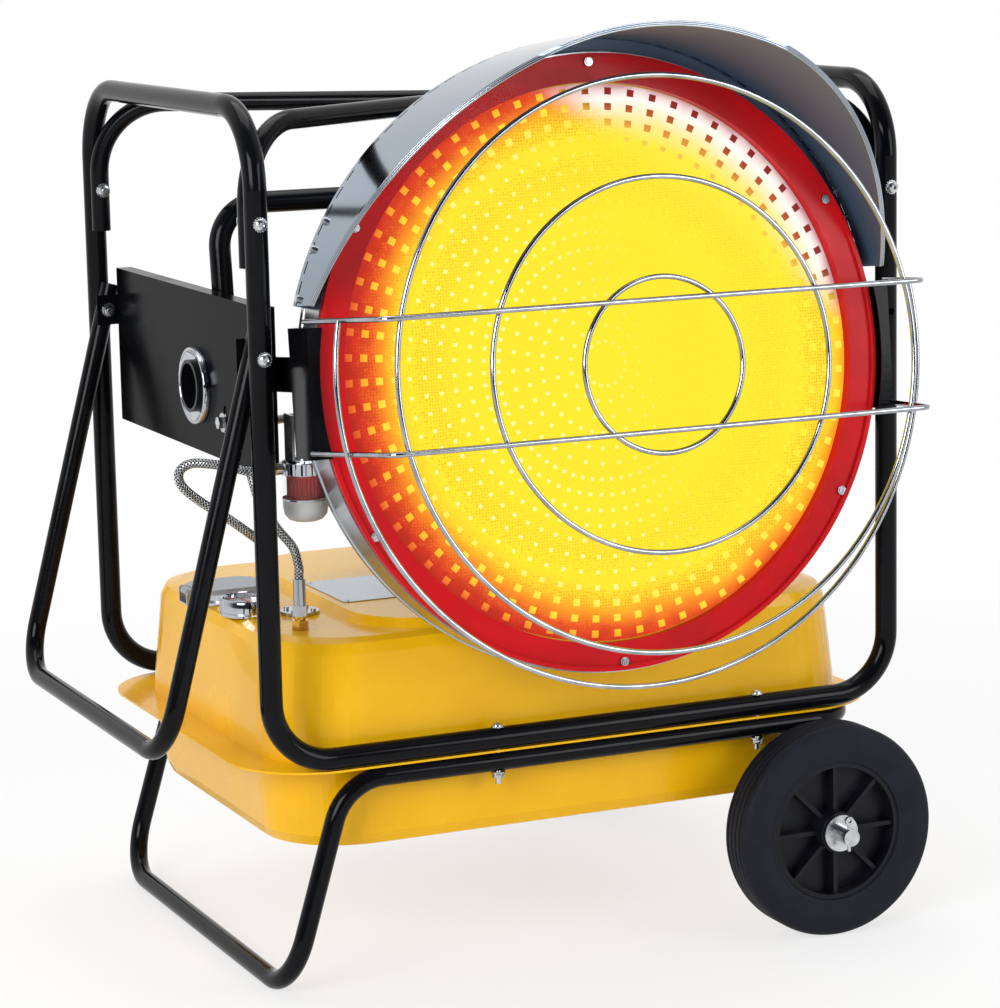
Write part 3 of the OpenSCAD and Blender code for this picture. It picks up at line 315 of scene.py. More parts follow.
def glow(name, heat_ramp, highlight_ramp, is_sheet):
    # Red-hot pressed sheet: cooler towards the lower left rim, with a pale painted highlight by the
    # upper right rim
    made, tree, skin = shader(name, Emission_Strength=1.0, Roughness=0.5, Specular_IOR_Level=0.1)
    moved, out = head_place(tree)
    left, upper = [add(tree, "VectorMath", {1: way}, {0: moved}, operation="DOT_PRODUCT")
                   for way in ((-0.95, -0.25, 0.0), (0.60, 0.80, 0.0))]
    cloud = add(tree, "TexNoise", {"Scale": 16.0, "Detail": 4.0}, {"Vector": moved})
    wander = add(tree, "Math", {1: 0.07, 2: -0.035}, {0: cloud}, operation="MULTIPLY_ADD")
    lean = add(tree, "Math", {1: 0.081 / EMITTER_R},
               {0: (left, "Value"), 2: wander}, operation="MULTIPLY_ADD")
    # From the middle to the rim: share leans to the lower left, and even goes up alike all round
    share, even = [add(tree, "Math", {1: rate / EMITTER_R}, {0: (out, "Value"), 2: start},
                       operation="MULTIPLY_ADD") for rate, start in ((0.9, lean), (1.0, wander))]
    heat = add(tree, "ValToRGB", links={"Fac": share}, ramp=heat_ramp)
    painted_highlight = add(tree, "ValToRGB", links={"Fac": even}, ramp=highlight_ramp)
    if is_sheet:
        # Fine holes in the sheet, 3.4 mm apart, which show as darker specks in the outer half
        holes = add(tree, "TexVoronoi", {"Scale": 1000.0 / 3.4, "Randomness": 0.35},
                    {"Vector": moved})
        dots = add(tree, "MapRange",
                   {"From Min": 0.20, "From Max": 0.46, "To Min": 0.85, "To Max": 0.0},
                   {"Value": holes})
        band = add(tree, "ValToRGB", links={"Fac": share},
                   ramp=[(0.30, "#505050"), (0.60, "#A0A0A0"), (0.80, "#FFFFFF"),
                         (0.90, "#B0B0B0"), (0.96, "#404040")])
        # Cooler dark red patches between the nubs of the outermost rows
        coals = add(tree, "TexNoise", {"Scale": 62.0, "Detail": 3.0}, {"Vector": moved})
        cool = add(tree, "MapRange", {"From Min": 0.46, "From Max": 0.60}, {"Value": coals})
        rim = add(tree, "ValToRGB", links={"Fac": share},
                  ramp=[(0.83, "#000000"), (0.90, "#A0A0A0"), (0.96, "#E8E8E8")])
        layers = [(dots, band, "#EC961C"), (cool, rim, "#B42A16")]
    else:
        # The nubs of the inner part catch the light on the left only
        lit = add(tree, "MapRange", {"From Min": -0.08, "From Max": 0.10},
                  {"Value": (left, "Value")}, interpolation_type="SMOOTHSTEP")
        deep = add(tree, "MapRange",
                   {"From Min": 0.72, "From Max": 0.80, "To Min": 0.9, "To Max": 0.0},
                   {"Value": share})
        layers = [(lit, deep, "#FFF6A2")]
    last = heat
    for first, second, code in layers:
        amount = add(tree, "Math", links={0: first, 1: second}, operation="MULTIPLY")
        last = (add(tree, "Mix", {7: rgb(code)}, {0: amount, 6: last}, data_type="RGBA"), 2)
    # A pale painted highlight lies at the upper right of the face, near the rim, from noon to three
    highlight_patch = add(tree, "MapRange", {"From Min": 0.196, "From Max": 0.246},
                {"Value": (upper, "Value")}, interpolation_type="SMOOTHSTEP")
    colour = add(tree, "Mix", links={0: highlight_patch, 6: last, 7: painted_highlight}, data_type="RGBA")
    dark = add(tree, "Mix", {0: 0.92, 7: rgb("#1A0A06")}, {6: (colour, 2)}, data_type="RGBA")
    feed(tree, skin, Emission_Color=(colour, 2), Base_Color=(dark, 2))
    made.cycles.emission_sampling = "NONE"
    return made


def hood_steel():
    # Polished stainless sheet: mirror-like outside and dull inside, with a row of slots. The
    # inside's slate-blue colour is painted shade and dark reflection, made bluer to offset the
    # emitter's warm light
    made = brushed("polished_stainless_hood", "#8E9CAB", "#75818E", (0.05, 0.11), 90.0)
    tree = made.node_tree
    skin = tree.nodes["Principled BSDF"]
    moved, out = head_place(tree)
    inside = add(tree, "Math", {1: HOOD_R - 0.0004}, {0: (out, "Value")}, operation="LESS_THAN")
    metal = add(tree, "MapRange", {"To Min": 1.0, "To Max": 0.35}, {"Value": inside})
    feed(tree, skin, Metallic=metal)
    # The inside gets a rougher finish and a slate-blue base colour, which is painted shade and dark
    # reflection
    for socket, dull_and_painted_shade in (("Roughness", (0.38, 0.38, 0.38, 1.0)), ("Base Color", rgb("#4E5E76"))):
        source = skin.inputs[socket].links[0].from_socket
        mixed = add(tree, "Mix", {7: dull_and_painted_shade}, {0: inside}, data_type="RGBA")
        tree.links.new(source, mixed.inputs[6])
        tree.links.new(mixed.outputs[2], skin.inputs[socket])
    # Slots 14 mm long and 3.2 mm wide, 22 mm apart, 9.5 mm in front of the sloping rear edge
    parts = add(tree, "SeparateXYZ", links={"Vector": moved})
    angle = add(tree, "Math", links={0: (parts, "X"), 1: (parts, "Y")}, operation="ARCTAN2")
    turns = add(tree, "Math", {1: HOOD_R / 0.022}, {0: angle}, operation="MULTIPLY")
    step = add(tree, "Math", links={0: turns}, operation="FRACT")
    dash = add(tree, "Math", {1: 0.64}, {0: step}, operation="LESS_THAN")
    edge = add(tree, "Math", {1: HOOD_REAR_SLOPE, 2: HOOD_REAR + 0.0095},
               {0: (parts, "Y")}, operation="MULTIPLY_ADD")
    off = add(tree, "Math", links={0: (parts, "Z"), 1: edge}, operation="SUBTRACT")
    near = add(tree, "Math", {1: 0.0, 2: 0.0016}, {0: off}, operation="COMPARE")
    slot = add(tree, "Math", links={0: dash, 1: near}, operation="MULTIPLY")
    solid = add(tree, "Math", {0: 1.0}, {1: slot}, operation="SUBTRACT")
    feed(tree, skin, Alpha=solid)
    return made


def dial_print():
    # Printed card: pale grey, with dark marks round its scale and a red last stretch
    made, tree, skin = shader("printed_gauge_face", Roughness=0.4, IOR=1.45)
    where = add(tree, "TexCoord")
    centre = MIDDLE + GAUGE_AT
    moved = add(tree, "VectorMath", {1: (-centre.x, -centre.y, 0.0)},
                {0: (where, "Object")}, operation="ADD")
    parts = add(tree, "SeparateXYZ", links={"Vector": moved})
    flat = add(tree, "CombineXYZ", links={"X": (parts, "X"), "Y": (parts, "Y")})
    out = add(tree, "VectorMath", links={0: flat}, operation="LENGTH")
    angle = add(tree, "Math", links={0: (parts, "Y"), 1: (parts, "X")}, operation="ARCTAN2")
    # A mark every thirty degrees, 5 mm long, and a line outside the marks
    turns = add(tree, "Math", {1: 24.0 / FULL}, {0: angle}, operation="MULTIPLY")
    wave = add(tree, "Math", {1: 1.0}, {0: turns}, operation="PINGPONG")
    tick = add(tree, "Math", {1: 0.12}, {0: wave}, operation="LESS_THAN")
    span = add(tree, "Math", {1: 0.0215, 2: 0.0025}, {0: (out, "Value")}, operation="COMPARE")
    mark = add(tree, "Math", links={0: tick, 1: span}, operation="MULTIPLY")
    line = add(tree, "Math", {1: 0.0242, 2: 0.0004}, {0: (out, "Value")}, operation="COMPARE")
    both = add(tree, "Math", links={0: mark, 1: line}, operation="MAXIMUM")
    warn = add(tree, "Math", {1: -1.1}, {0: angle}, operation="LESS_THAN")
    ink = add(tree, "Mix", {6: rgb("#2B2D31"), 7: rgb("#C2261F")}, {0: warn}, data_type="RGBA")
    cloud = add(tree, "TexNoise", {"Scale": 60.0}, {"Vector": (where, "Object")})
    card = add(tree, "ValToRGB", links={"Fac": cloud}, ramp=[(0.3, "#B9BDC2"), (0.7, "#C6CACE")])
    face = add(tree, "Mix", links={0: both, 6: card, 7: (ink, 2)}, data_type="RGBA")
    feed(tree, skin, Base_Color=(face, 2))
    return made


FINISH = {}

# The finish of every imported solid, also of those that a finer piece stands for
FINISH_OF = {
    "frame_black": "front_frame rear_frame top_brace lower_frame axle_brackets carry_handle "
                   "bracket_left bracket_right trunnion_arm_left trunnion_arm_right tilt_hoop",
    "panel": "side_panel_left side_panel_right burner_cover",
    "tank": "tank_upper tank_lower",
    "red": "red_ring",
    "hood": "hood",
    "stainless": "casing_band casing_back trunnion_collars filler_neck gauge_body pickup_plate "
                 "nozzle_tube blower_motor blower_wheel hose_nuts",
    "chrome": "guard_rings guard_bars guard_rear_ring",
    "plated": "axle wheel_washers split_pins frame_bolts tank_bolts handle_pivots head_screws "
              "lock_bolts drain_plug",
    "cast": "fuel_pump strainer_head",
    "cap": "filler_cap",
    "brass": "brass_unions",
    "rubber": "front_tyre rear_tyre",
    "rim": "front_rim rear_rim power_inlet",
    "lens": "gauge_glass",
    "bowl": "strainer_bowl",
    "red_plastic": "gauge_needle rocker_switch reset_button",
    "element": "strainer_element",
    "chamber": "combustion_chamber",
}


class HEATER_OT_finishes(Operator):
    """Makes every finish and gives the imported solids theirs"""

    bl_idname = "heater.finishes"
    bl_label = "Finishes"

    def execute(self, context):
        tones = context.scene.heater_colours
        FINISH.update({
            # Deep black, wet gloss
            "frame_black": enamel("gloss_black_stoved_enamel", (tones.frame_black, "#0D0E12"),
                                  45.0, (0.09, 0.16), (5.0, 0.02), 0.12),
            # Satin black on folded sheet, with a soft broad sheen
            "panel": enamel("satin_black_painted_sheet", ("#070709", "#0D0E11"), 60.0,
                            (0.14, 0.24), (2.0, 0.012), 0.02),
            # Bright yellow under a thin clear gloss, with the gentle waves of the drawn sheet
            "tank": enamel("yellow_enamel_pressed_steel", (tones.tank_yellow, "#F0B812"), 90.0,
                           (0.20, 0.30), (30.0, 0.12), 0.15, detail=1.0, Coat_Weight=0.22,
                           Coat_Roughness=0.04),
            # Saturated, glossy heat enamel
            "red": enamel("red_enamel_stamped_ring", (tones.ring_red, "#B0151B"), 70.0,
                          (0.16, 0.28), (8.0, 0.03), 0.12),
            # Stainless sheet: the hood, its bright beads, the casing, the heat-tinted chamber
            "hood": hood_steel(),
            "bead": brushed("rolled_stainless_bead", "#B4BAC2", "#969DA6", (0.08, 0.16), 60.0),
            "stainless": brushed("rolled_stainless_sheet", "#C3C6CA", "#A2A6AB", (0.16, 0.28),
                                 40.0),
            "chamber": brushed("heat_tinted_steel", "#6E6A66", "#4C4A4A", (0.25, 0.40), 50.0),
            # Soft silver of a rolled and anodised plate
            "foil": brushed("anodised_aluminium_plate", "#B6BBC2", "#A0A6AF", (0.22, 0.34), 30.0),
            # Chromed wire, mirror-polished chrome, cloudy grey zinc and duller cast zinc
            "chrome": plated("chromed_steel_wire", "#B4B7BC", "#90949A", (0.09, 0.16), 30.0),
            "polished": plated("polished_chromed_steel", "#C9CCD0", "#A9ADB3", (0.04, 0.08), 25.0),
            "plated": plated("zinc_plated_steel", "#D2D4D6", "#A9ABAE", (0.16, 0.30), 12.0),
            "cast": plated("die_cast_zinc", "#B9BBBE", "#8F9296", (0.28, 0.42), 14.0),
            # Warm yellow metal with faint turning clouds
            "brass": plated("turned_brass", "#D9AE54", "#B98A33", (0.14, 0.26), 9.0),
            "braid": wire_braid(),
            "dial": dial_print(),
            # Matt blue-black rubber, and the slightly shinier plastic of the rims
            "rubber": moulded("black_moulded_rubber", "#1D1F28", "#14151C", (0.55, 0.72), 0.05,
                              0.15),
            "rim": moulded("black_moulded_polypropylene", "#15161D", "#0E0F14", (0.30, 0.44),
                           shine=0.2),
            "cap": moulded("grey_painted_cap", "#9EA2A8", "#868A90", (0.30, 0.42)),
            "red_plastic": moulded("red_moulded_plastic", "#C81D18", "#A01212", (0.25, 0.38)),
            # Dark red mesh with little shine
            "element": moulded("red_woven_nylon_mesh", "#A4120F", "#7C0C0B", (0.34, 0.46),
                               shine=0.25),
            "lens": clear("clear_moulded_lens", (0.02, 0.05), 0.07),
            "bowl": clear("frosted_polycarbonate_bowl", (0.04, 0.12), 0.05,
                          STRAINER_AT.z + FROST_TOP),
            # Heat, from yellow in the middle to dark red at the rim, and a painted highlight at the
            # upper right
            "glow": glow("glowing_pressed_sheet", SHEET_HEAT, SHEET_PAINTED_HIGHLIGHT, True),
            "glow_nub": glow("glowing_pressed_nubs", NUB_HEAT, NUB_PAINTED_HIGHLIGHT, False),
        })
        for finish, names in FINISH_OF.items():
            for name in names.split():
                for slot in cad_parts[name].material_slots:
                    slot.material = FINISH[finish]
        return {"FINISHED"}


# ---------------------------------------------------------------- mesh helpers


def lathe(profile, steps=96, closed=False):
    """A turned shape about Z from points (radius, height)."""
    bm = bmesh.new()
    line = [bm.verts.new((r, 0.0, z)) for r, z in profile]
    pairs = list(zip(line, line[1:])) + ([(line[-1], line[0])] if closed else [])
    edges = [bm.edges.new(pair) for pair in pairs]
    bmesh.ops.spin(bm, geom=line + edges, cent=(0, 0, 0), axis=(0, 0, 1), dvec=(0, 0, 0),
                   angle=FULL, steps=steps, use_merge=True, use_normal_flip=False,
                   use_duplicate=False)
    bmesh.ops.remove_doubles(bm, verts=bm.verts, dist=1e-6)
    bmesh.ops.recalc_face_normals(bm, faces=bm.faces)
    return bm


def prism(sides, radius, depth, place, foot=None, bevel=None):
    """A solid prism about Z, centred on its place, with another radius at its foot or with
    rounded edges where asked."""
    bm = bmesh.new()
    bmesh.ops.create_cone(bm, cap_ends=True, segments=sides, radius1=foot or radius,
                          radius2=radius, depth=depth, matrix=place)
    if bevel:
        soften(bm, bm.edges[:], bevel, 2)
    return bm


def soften(bm, edges, width, segments):
    """Rounds some edges of a shape."""
    bmesh.ops.bevel(bm, geom=edges, offset=width, segments=segments, profile=0.5, affect="EDGES",
                    material=-1)


def flute(verts, step, share, chosen):
    """Moves the chosen spokes of a round shape in to a share of their radius, where a spoke's
    number is its angle over step, in degrees."""
    for vert in verts:
        if chosen(round(math.degrees(math.atan2(vert.co.y, vert.co.x)) / step)):
            vert.co.x, vert.co.y = vert.co.x * share, vert.co.y * share


def upright(*place):
    """A place for an upright shape."""
    return Matrix.Translation(place)


def join(into, bm, place=None):
    """Adds one shape to another, in its place."""
    if place is not None:
        bmesh.ops.transform(bm, matrix=place, verts=bm.verts)
    mesh = bpy.data.meshes.new("part")
    bm.to_mesh(mesh)
    bm.free()
    into.from_mesh(mesh)
    bpy.data.meshes.remove(mesh)


def put(bm, name, body, finish, place=PLACED, stands_for=(), sharp=35.0):
    """Turns a shape into a piece, in its place, with its finish, on its body where it has one."""
    bmesh.ops.transform(bm, matrix=place, verts=bm.verts)
    mesh = bpy.data.meshes.new(name)
    bm.to_mesh(mesh)
    bm.free()
    mesh.shade_smooth()
    mesh.set_sharp_from_angle(angle=math.radians(sharp))
    mesh.materials.append(FINISH[finish])
    piece = bpy.data.objects.new(name, mesh)
    bpy.context.scene.collection.objects.link(piece)
    if body:
        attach(piece, body)
    if stands_for:
        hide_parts(*stands_for)
    return piece


# ---------------------------------------------------------------- emitter


class HEATER_OT_emitter(Operator):
    """Makes the domed emitter sheet and its rings of pressed nubs"""

    bl_idname = "heater.emitter"
    bl_label = "Emitter"

    def execute(self, context):
        sizes = context.scene.heater_sizes
        radius, low = EMITTER_R - 0.001, FACE - 0.012
        dome, thick, flange_depth, flange_width = 0.010, 0.0012, 0.004, 0.006

        def rise(r):
            return low + dome * (1.0 - (r / radius) ** 2)

        front = [(radius * i / 24.0, rise(radius * i / 24.0)) for i in range(25)]
        back = [(radius, low - flange_depth), (radius - flange_width, low - flange_depth),
                (radius - flange_width, low - thick)]
        back += [(radius * i / 8.0, rise(radius * i / 8.0) - thick) for i in range(7, -1, -1)]
        put(lathe(front + back, 128), "emitter_sheet", "head", "glow", AXIAL,
            ("emitter_disc",))

        # The nubs get smaller and fewer towards the middle
        bm = bmesh.new()
        r = radius - 0.008
        while r > 0.02:
            rays = sizes.nub_rays // (1 if r > 0.125 else 2 if r > 0.06 else 4)
            half = sizes.nub_size * (0.5 if r > 0.255 else 0.36 if r > 0.235 else 0.26)
            for k in range(rays):
                spot = (Matrix.Rotation(FULL * k / rays, 4, "Z")
                        @ upright(r, 0.0, rise(r) - 0.0006))
                bmesh.ops.create_cone(bm, cap_ends=True, segments=4, radius1=half * 1.414,
                                      radius2=half * 1.15, depth=0.0026,
                                      matrix=spot @ upright(0, 0, 0.0009)
                                      @ Matrix.Rotation(math.pi / 4.0, 4, "Z"))
            r -= sizes.nub_pitch
        put(bm, "emitter_nubs", "head", "glow_nub", AXIAL, sharp=30.0)
        return {"FINISHED"}


# ---------------------------------------------------------------- hoses


def smooth_line(points, share):
    """A smooth curve through points in mm, as points in metres, with a share between each two."""
    spots = [Vector(p) * 0.001 for p in points]
    line = []
    for i in range(len(spots) - 1):
        a, b = spots[max(i - 1, 0)], spots[i]
        c, d = spots[i + 1], spots[min(i + 2, len(spots) - 1)]
        for k in range(share):
            u = k / share
            line.append(0.5 * (2 * b + (c - a) * u + (2 * a - 5 * b + 4 * c - d) * u * u
                               + (3 * b - a - 3 * c + d) * u ** 3))
    return line + [spots[-1]]


def swept(line, radius, sides):
    """A round tube along a line, with a UV map: once round the tube, and metres along it."""
    bm = bmesh.new()
    side, rings, loops = None, [], []
    for i, spot in enumerate(line):
        along = (line[min(i + 1, len(line) - 1)] - line[max(i - 1, 0)]).normalized()
        side = (along.orthogonal() if side is None
                else side - along * side.dot(along)).normalized()
        turn = Matrix((side, along.cross(side), along)).transposed().to_4x4()
        ring = bmesh.ops.create_circle(bm, segments=sides, radius=radius,
                                       matrix=Matrix.Translation(spot) @ turn)["verts"]
        rings.append(ring)
        loops.append(list(dict.fromkeys(edge for vert in ring for edge in vert.link_edges)))
    uv = bm.loops.layers.uv.new("braid")
    for first, second in zip(loops, loops[1:]):
        bmesh.ops.bridge_loops(bm, edges=first + second)
    place, length = {}, 0.0
    for i, ring in enumerate(rings):
        if i:
            length += (line[i] - line[i - 1]).length
        for k, vert in enumerate(ring):
            place[vert] = (k / sides, length)
    for face in bm.faces:
        turns = [place[loop.vert][0] for loop in face.loops]
        for loop in face.loops:
            u, v = place[loop.vert]
            loop[uv].uv = (u + 1.0 if max(turns) - min(turns) > 0.5 and u < 0.5 else u, v)
    for ring in (rings[0], rings[-1]):
        bmesh.ops.contextual_create(bm, geom=ring)
    bmesh.ops.recalc_face_normals(bm, faces=bm.faces)
    return bm


class HEATER_OT_hoses(Operator):
    """Makes the two braided hoses, which run in curves from the tank to the head"""

    bl_idname = "heater.hoses"
    bl_label = "Braided hoses"

    def execute(self, context):
        radius = context.scene.heater_sizes.hose_diameter / 2.0
        for name, (points, start, end) in HOSES.items():
            piece = put(swept(smooth_line(points, 6), radius, 20), "braided_" + name, None,
                        "braid", stands_for=(name,), sharp=60.0)
            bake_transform(piece)
        return {"FINISHED"}


# ---------------------------------------------------------------- hood, collars and bolts


def hood_edge(radius):
    """The hood's front edge at a radius: a sloping cut that is level over the top."""
    line = []
    for i in range(113):
        angle = math.radians(-HOOD_HALF_TURN + 2.0 * HOOD_HALF_TURN * i / 112.0)
        reach = min(HOOD_FRONT + HOOD_FRONT_SLOPE * HOOD_R * math.cos(angle), HOOD_REACH)
        line.append(Vector((radius * math.sin(angle), radius * math.cos(angle), reach)))
    return line


class HEATER_OT_hood_beads(Operator):
    """Rolls three fine beads along the hood's front edge"""

    bl_idname = "heater.hood_beads"
    bl_label = "Hood beads"

    def execute(self, context):
        for i, radius in enumerate((HOOD_R + 0.0014, HOOD_R - 0.0005, HOOD_R - 0.0024)):
            put(swept(hood_edge(radius), 0.0011, 10), "hood_bead_%d" % (i + 1), "head", "bead",
                AXIAL, sharp=60.0)
        return {"FINISHED"}


class HEATER_OT_collars(Operator):
    """Turns the two dished collars round the trunnions"""

    bl_idname = "heater.collars"
    bl_label = "Trunnion collars"

    def execute(self, context):
        # Radius and height off the panel: the sleeve in it, the dished face and the rounded rim
        profile = [(0.0301, -0.001), (0.0301, 0.0012), (0.0325, 0.0018), (0.0405, 0.0062),
                   (0.0412, 0.0077), (0.0422, 0.0081), (0.0432, 0.0078), (0.0439, 0.0069),
                   (0.0440, 0.0005), (0.0436, 0.0001), (0.0360, 0.0001), (0.0360, -0.0050),
                   (0.0352, -0.0058), (0.0301, -0.0058)]
        both = bmesh.new()
        for side in (-1.0, 1.0):
            join(both, lathe(profile, 96, closed=True),
                 upright(side * PANEL_X, PIVOT.y, PIVOT.z) @ Matrix.Rotation(side * RIGHT, 4, "Y"))
        put(both, "collars", "frame", "polished", stands_for=("trunnion_collars",),
            sharp=40.0)
        return {"FINISHED"}


def fastener(into, place, length, nut, head, size=0.008):
    """A pan head bolt with a toothed washer, pointing up its own Z, and its nut that far below."""
    washer = prism(32, head * 0.56, 0.0011, upright(0, 0, 0.0007))
    flute(washer.verts, 11.25, 0.88, lambda number: number % 2)
    # The head has a round drive recess
    pan = lathe([(0.0, head * 0.22), (head * 0.14, head * 0.22), (head * 0.16, head * 0.36),
                 (head * 0.20, head * 0.395), (head * 0.34, head * 0.34),
                 (head * 0.44, head * 0.24), (head * 0.48, head * 0.13), (head * 0.48, 0.0012),
                 (0.0, 0.0012)], 32)
    shank = prism(24, size / 2.0, length, upright(0, 0, 0.001 - length / 2.0),
                  foot=size / 2.0 - 0.0006)
    hexagon = prism(6, size * 0.92, size * 0.75, upright(0, 0, -nut - size * 0.575), bevel=0.0007)
    disc = prism(32, size * 1.05, size * 0.18, upright(0, 0, -nut - size * 0.1))
    for bm in (washer, pan, shank, hexagon, disc):
        join(into, bm, place)


class HEATER_OT_bolts(Operator):
    """Makes the frame's plated bolts with toothed washers and nuts"""

    bl_idname = "heater.bolts"
    bl_label = "Bolts"

    def execute(self, context):
        # Each bolt's place and length, and how far under its head the nut is
        sets = {"frame_bolts": [], "handle_pivots": [], "tank_bolts": []}
        for s in (-1.0, 1.0):
            turn = Matrix.Rotation(-s * RIGHT, 4, "X")
            outside = s * (HALF_D + TUBE_R + 0.0001)
            for x in (-HALF_W, HALF_W):
                sets["frame_bolts"].append(
                    (upright(x, outside, FRAME_BOLT_Z) @ turn, 0.0596, 0.0480))
            sets["handle_pivots"].append(
                (upright(-HALF_W, outside, HANDLE_Z) @ turn, 0.0602, 0.0498))
            for x in TANK_BOLT_X:
                sets["tank_bolts"].append((upright(x, s * HALF_D, TANK_BOLT_Z), 0.066, 0.0508))
        for node, places in sets.items():
            both = bmesh.new()
            for place, length, nut in places:
                fastener(both, place, length, nut, 0.013 if node == "tank_bolts" else 0.015)
            put(both, node + "_detail", "frame", "plated", stands_for=(node,), sharp=30.0)
        return {"FINISHED"}


# ---------------------------------------------------------------- gauge, plate, strainer


class HEATER_OT_gauge(Operator):
    """Makes the fuel gauge's rolled bezel, its float tube and its printed face"""

    bl_idname = "heater.gauge"
    bl_label = "Fuel gauge"

    def execute(self, context):
        at = PLACED @ Matrix.Translation(GAUGE_AT)
        r, tube_r, pin_r = GAUGE_R, 0.0090, 0.0011
        bezel = lathe([(tube_r, 0.0001), (r - 0.0006, 0.0001), (r, 0.0007), (r, 0.0030),
                       (r - 0.0007, 0.0037), (r - 0.0007, 0.0046), (r, 0.0053), (r, 0.0168),
                       (r - 0.0006, 0.0186), (r - 0.0018, 0.0198), (r - 0.0030, 0.0199),
                       (r - 0.0038, 0.0192), (r - 0.0040, 0.0176), (r - 0.0040, DIAL + 0.0001),
                       (r - 0.0044, DIAL - 0.0011), (tube_r, DIAL - 0.0011)], 96, closed=True)
        join(bezel, lathe([(0.0130, -0.060), (0.0150, -0.060), (0.0150, 0.0), (0.0130, 0.0)], 48,
                          closed=True))
        put(bezel, "gauge_bezel", "frame", "polished", at, ("gauge_body",),
            sharp=40.0)
        face = lathe([(pin_r, DIAL - 0.0009), (r - 0.0046, DIAL - 0.0009),
                      (r - 0.0043, DIAL - 0.0003), (r - 0.0052, DIAL - 0.0001),
                      (pin_r, DIAL - 0.0001)], 64, closed=True)
        put(face, "gauge_face", "frame", "dial", at)
        return {"FINISHED"}


class HEATER_OT_plate(Operator):
    """Lays the bare aluminium plate with its four rivets on the tank"""

    bl_idname = "heater.plate"
    bl_label = "Bare plate"

    def execute(self, context):
        bm = bmesh.new()
        bmesh.ops.create_cube(bm, size=1.0, matrix=Matrix.Diagonal((*PLATE, 1.0)))
        corners = [e for e in bm.edges if abs(e.verts[0].co.z - e.verts[1].co.z) > 0.0005]
        soften(bm, corners, 0.006, 5)
        for x, y in ((-1, -1), (-1, 1), (1, -1), (1, 1)):
            rivet = lathe([(0.0, 0.0014), (0.0012, 0.0012), (0.0020, 0.0006), (0.0021, 0.0),
                           (0.0, 0.0)], 16)
            join(bm, rivet, upright(x * 0.057, y * 0.0605, 0.0003))
        put(bm, "bare_plate", "frame", "foil",
            PLACED @ Matrix.Translation(PLATE_AT), sharp=30.0)
        return {"FINISHED"}


class HEATER_OT_strainer(Operator):
    """Makes the strainer's fluted collar, pleated element and rounded clear bowl"""

    bl_idname = "heater.strainer"
    bl_label = "Fuel strainer"

    def execute(self, context):
        at = PLACED @ Matrix.Translation(STRAINER_AT)
        r, low = BOWL_R, BOWL_TOP
        bowl = lathe([(r, low), (r, low - 0.036), (r - 0.0015, low - 0.044),
                      (r - 0.006, low - 0.0495), (r - 0.011, low - 0.0515), (0.0, low - BOWL_H),
                      (0.0, low - 0.049), (r - 0.012, low - 0.0487), (r - 0.0075, low - 0.047),
                      (r - 0.0038, low - 0.043), (r - 0.0025, low - 0.036), (r - 0.0025, low)],
                     72, closed=True)
        put(bowl, "strainer_bowl_clear", "head", "bowl", at, ("strainer_bowl",),
            sharp=40.0)

        # The element: 30 folds of mesh between plain end rings
        bm = bmesh.new()
        made = bmesh.ops.create_cone(bm, segments=60, radius1=0.0202, radius2=0.0202, depth=0.021,
                                     matrix=upright(0, 0, low - 0.0130))
        flute(made["verts"], 6.0, 0.9, lambda number: number % 2)
        bmesh.ops.solidify(bm, geom=bm.faces[:], thickness=0.001)
        for z in (-0.0005, -0.0240):
            join(bm, lathe([(0.0165, low + z), (0.0208, low + z), (0.0208, low + z - 0.0022),
                            (0.0165, low + z - 0.0022)], 60, closed=True))
        put(bm, "strainer_pleats", "head", "element", at, ("strainer_element",),
            sharp=20.0)

        # A steel band lies between the element and the frosted lower half
        band = lathe([(r + 0.0001, low - 0.0256), (r + 0.0006, low - 0.0261),
                      (r + 0.0006, low - 0.0277), (r + 0.0001, low - 0.0282)], 72, closed=True)
        put(band, "strainer_band", "head", "stainless", at)

        collar = prism(72, 0.0268, 0.0125, upright(0, 0, -0.0070))
        flute(collar.verts, 5.0, 0.955, lambda number: number % 3 == 0)
        join(collar, lathe([(0.0, 0.0049), (0.0118, 0.0049), (0.0122, 0.0030), (0.0225, 0.0022),
                            (0.0248, 0.0006), (0.0250, -0.0008), (0.0, -0.0008)], 60))
        put(collar, "strainer_collar", "head", "polished", at, sharp=25.0)

        union = prism(6, 0.0070, 0.010, Matrix.Rotation(RIGHT, 4, "Y"), bevel=0.0006)
        put(union, "strainer_union", "head", "brass",
            at @ upright(-0.0302, 0.0, -0.0066), sharp=30.0)
        return {"FINISHED"}


# ---------------------------------------------------------------- tyres


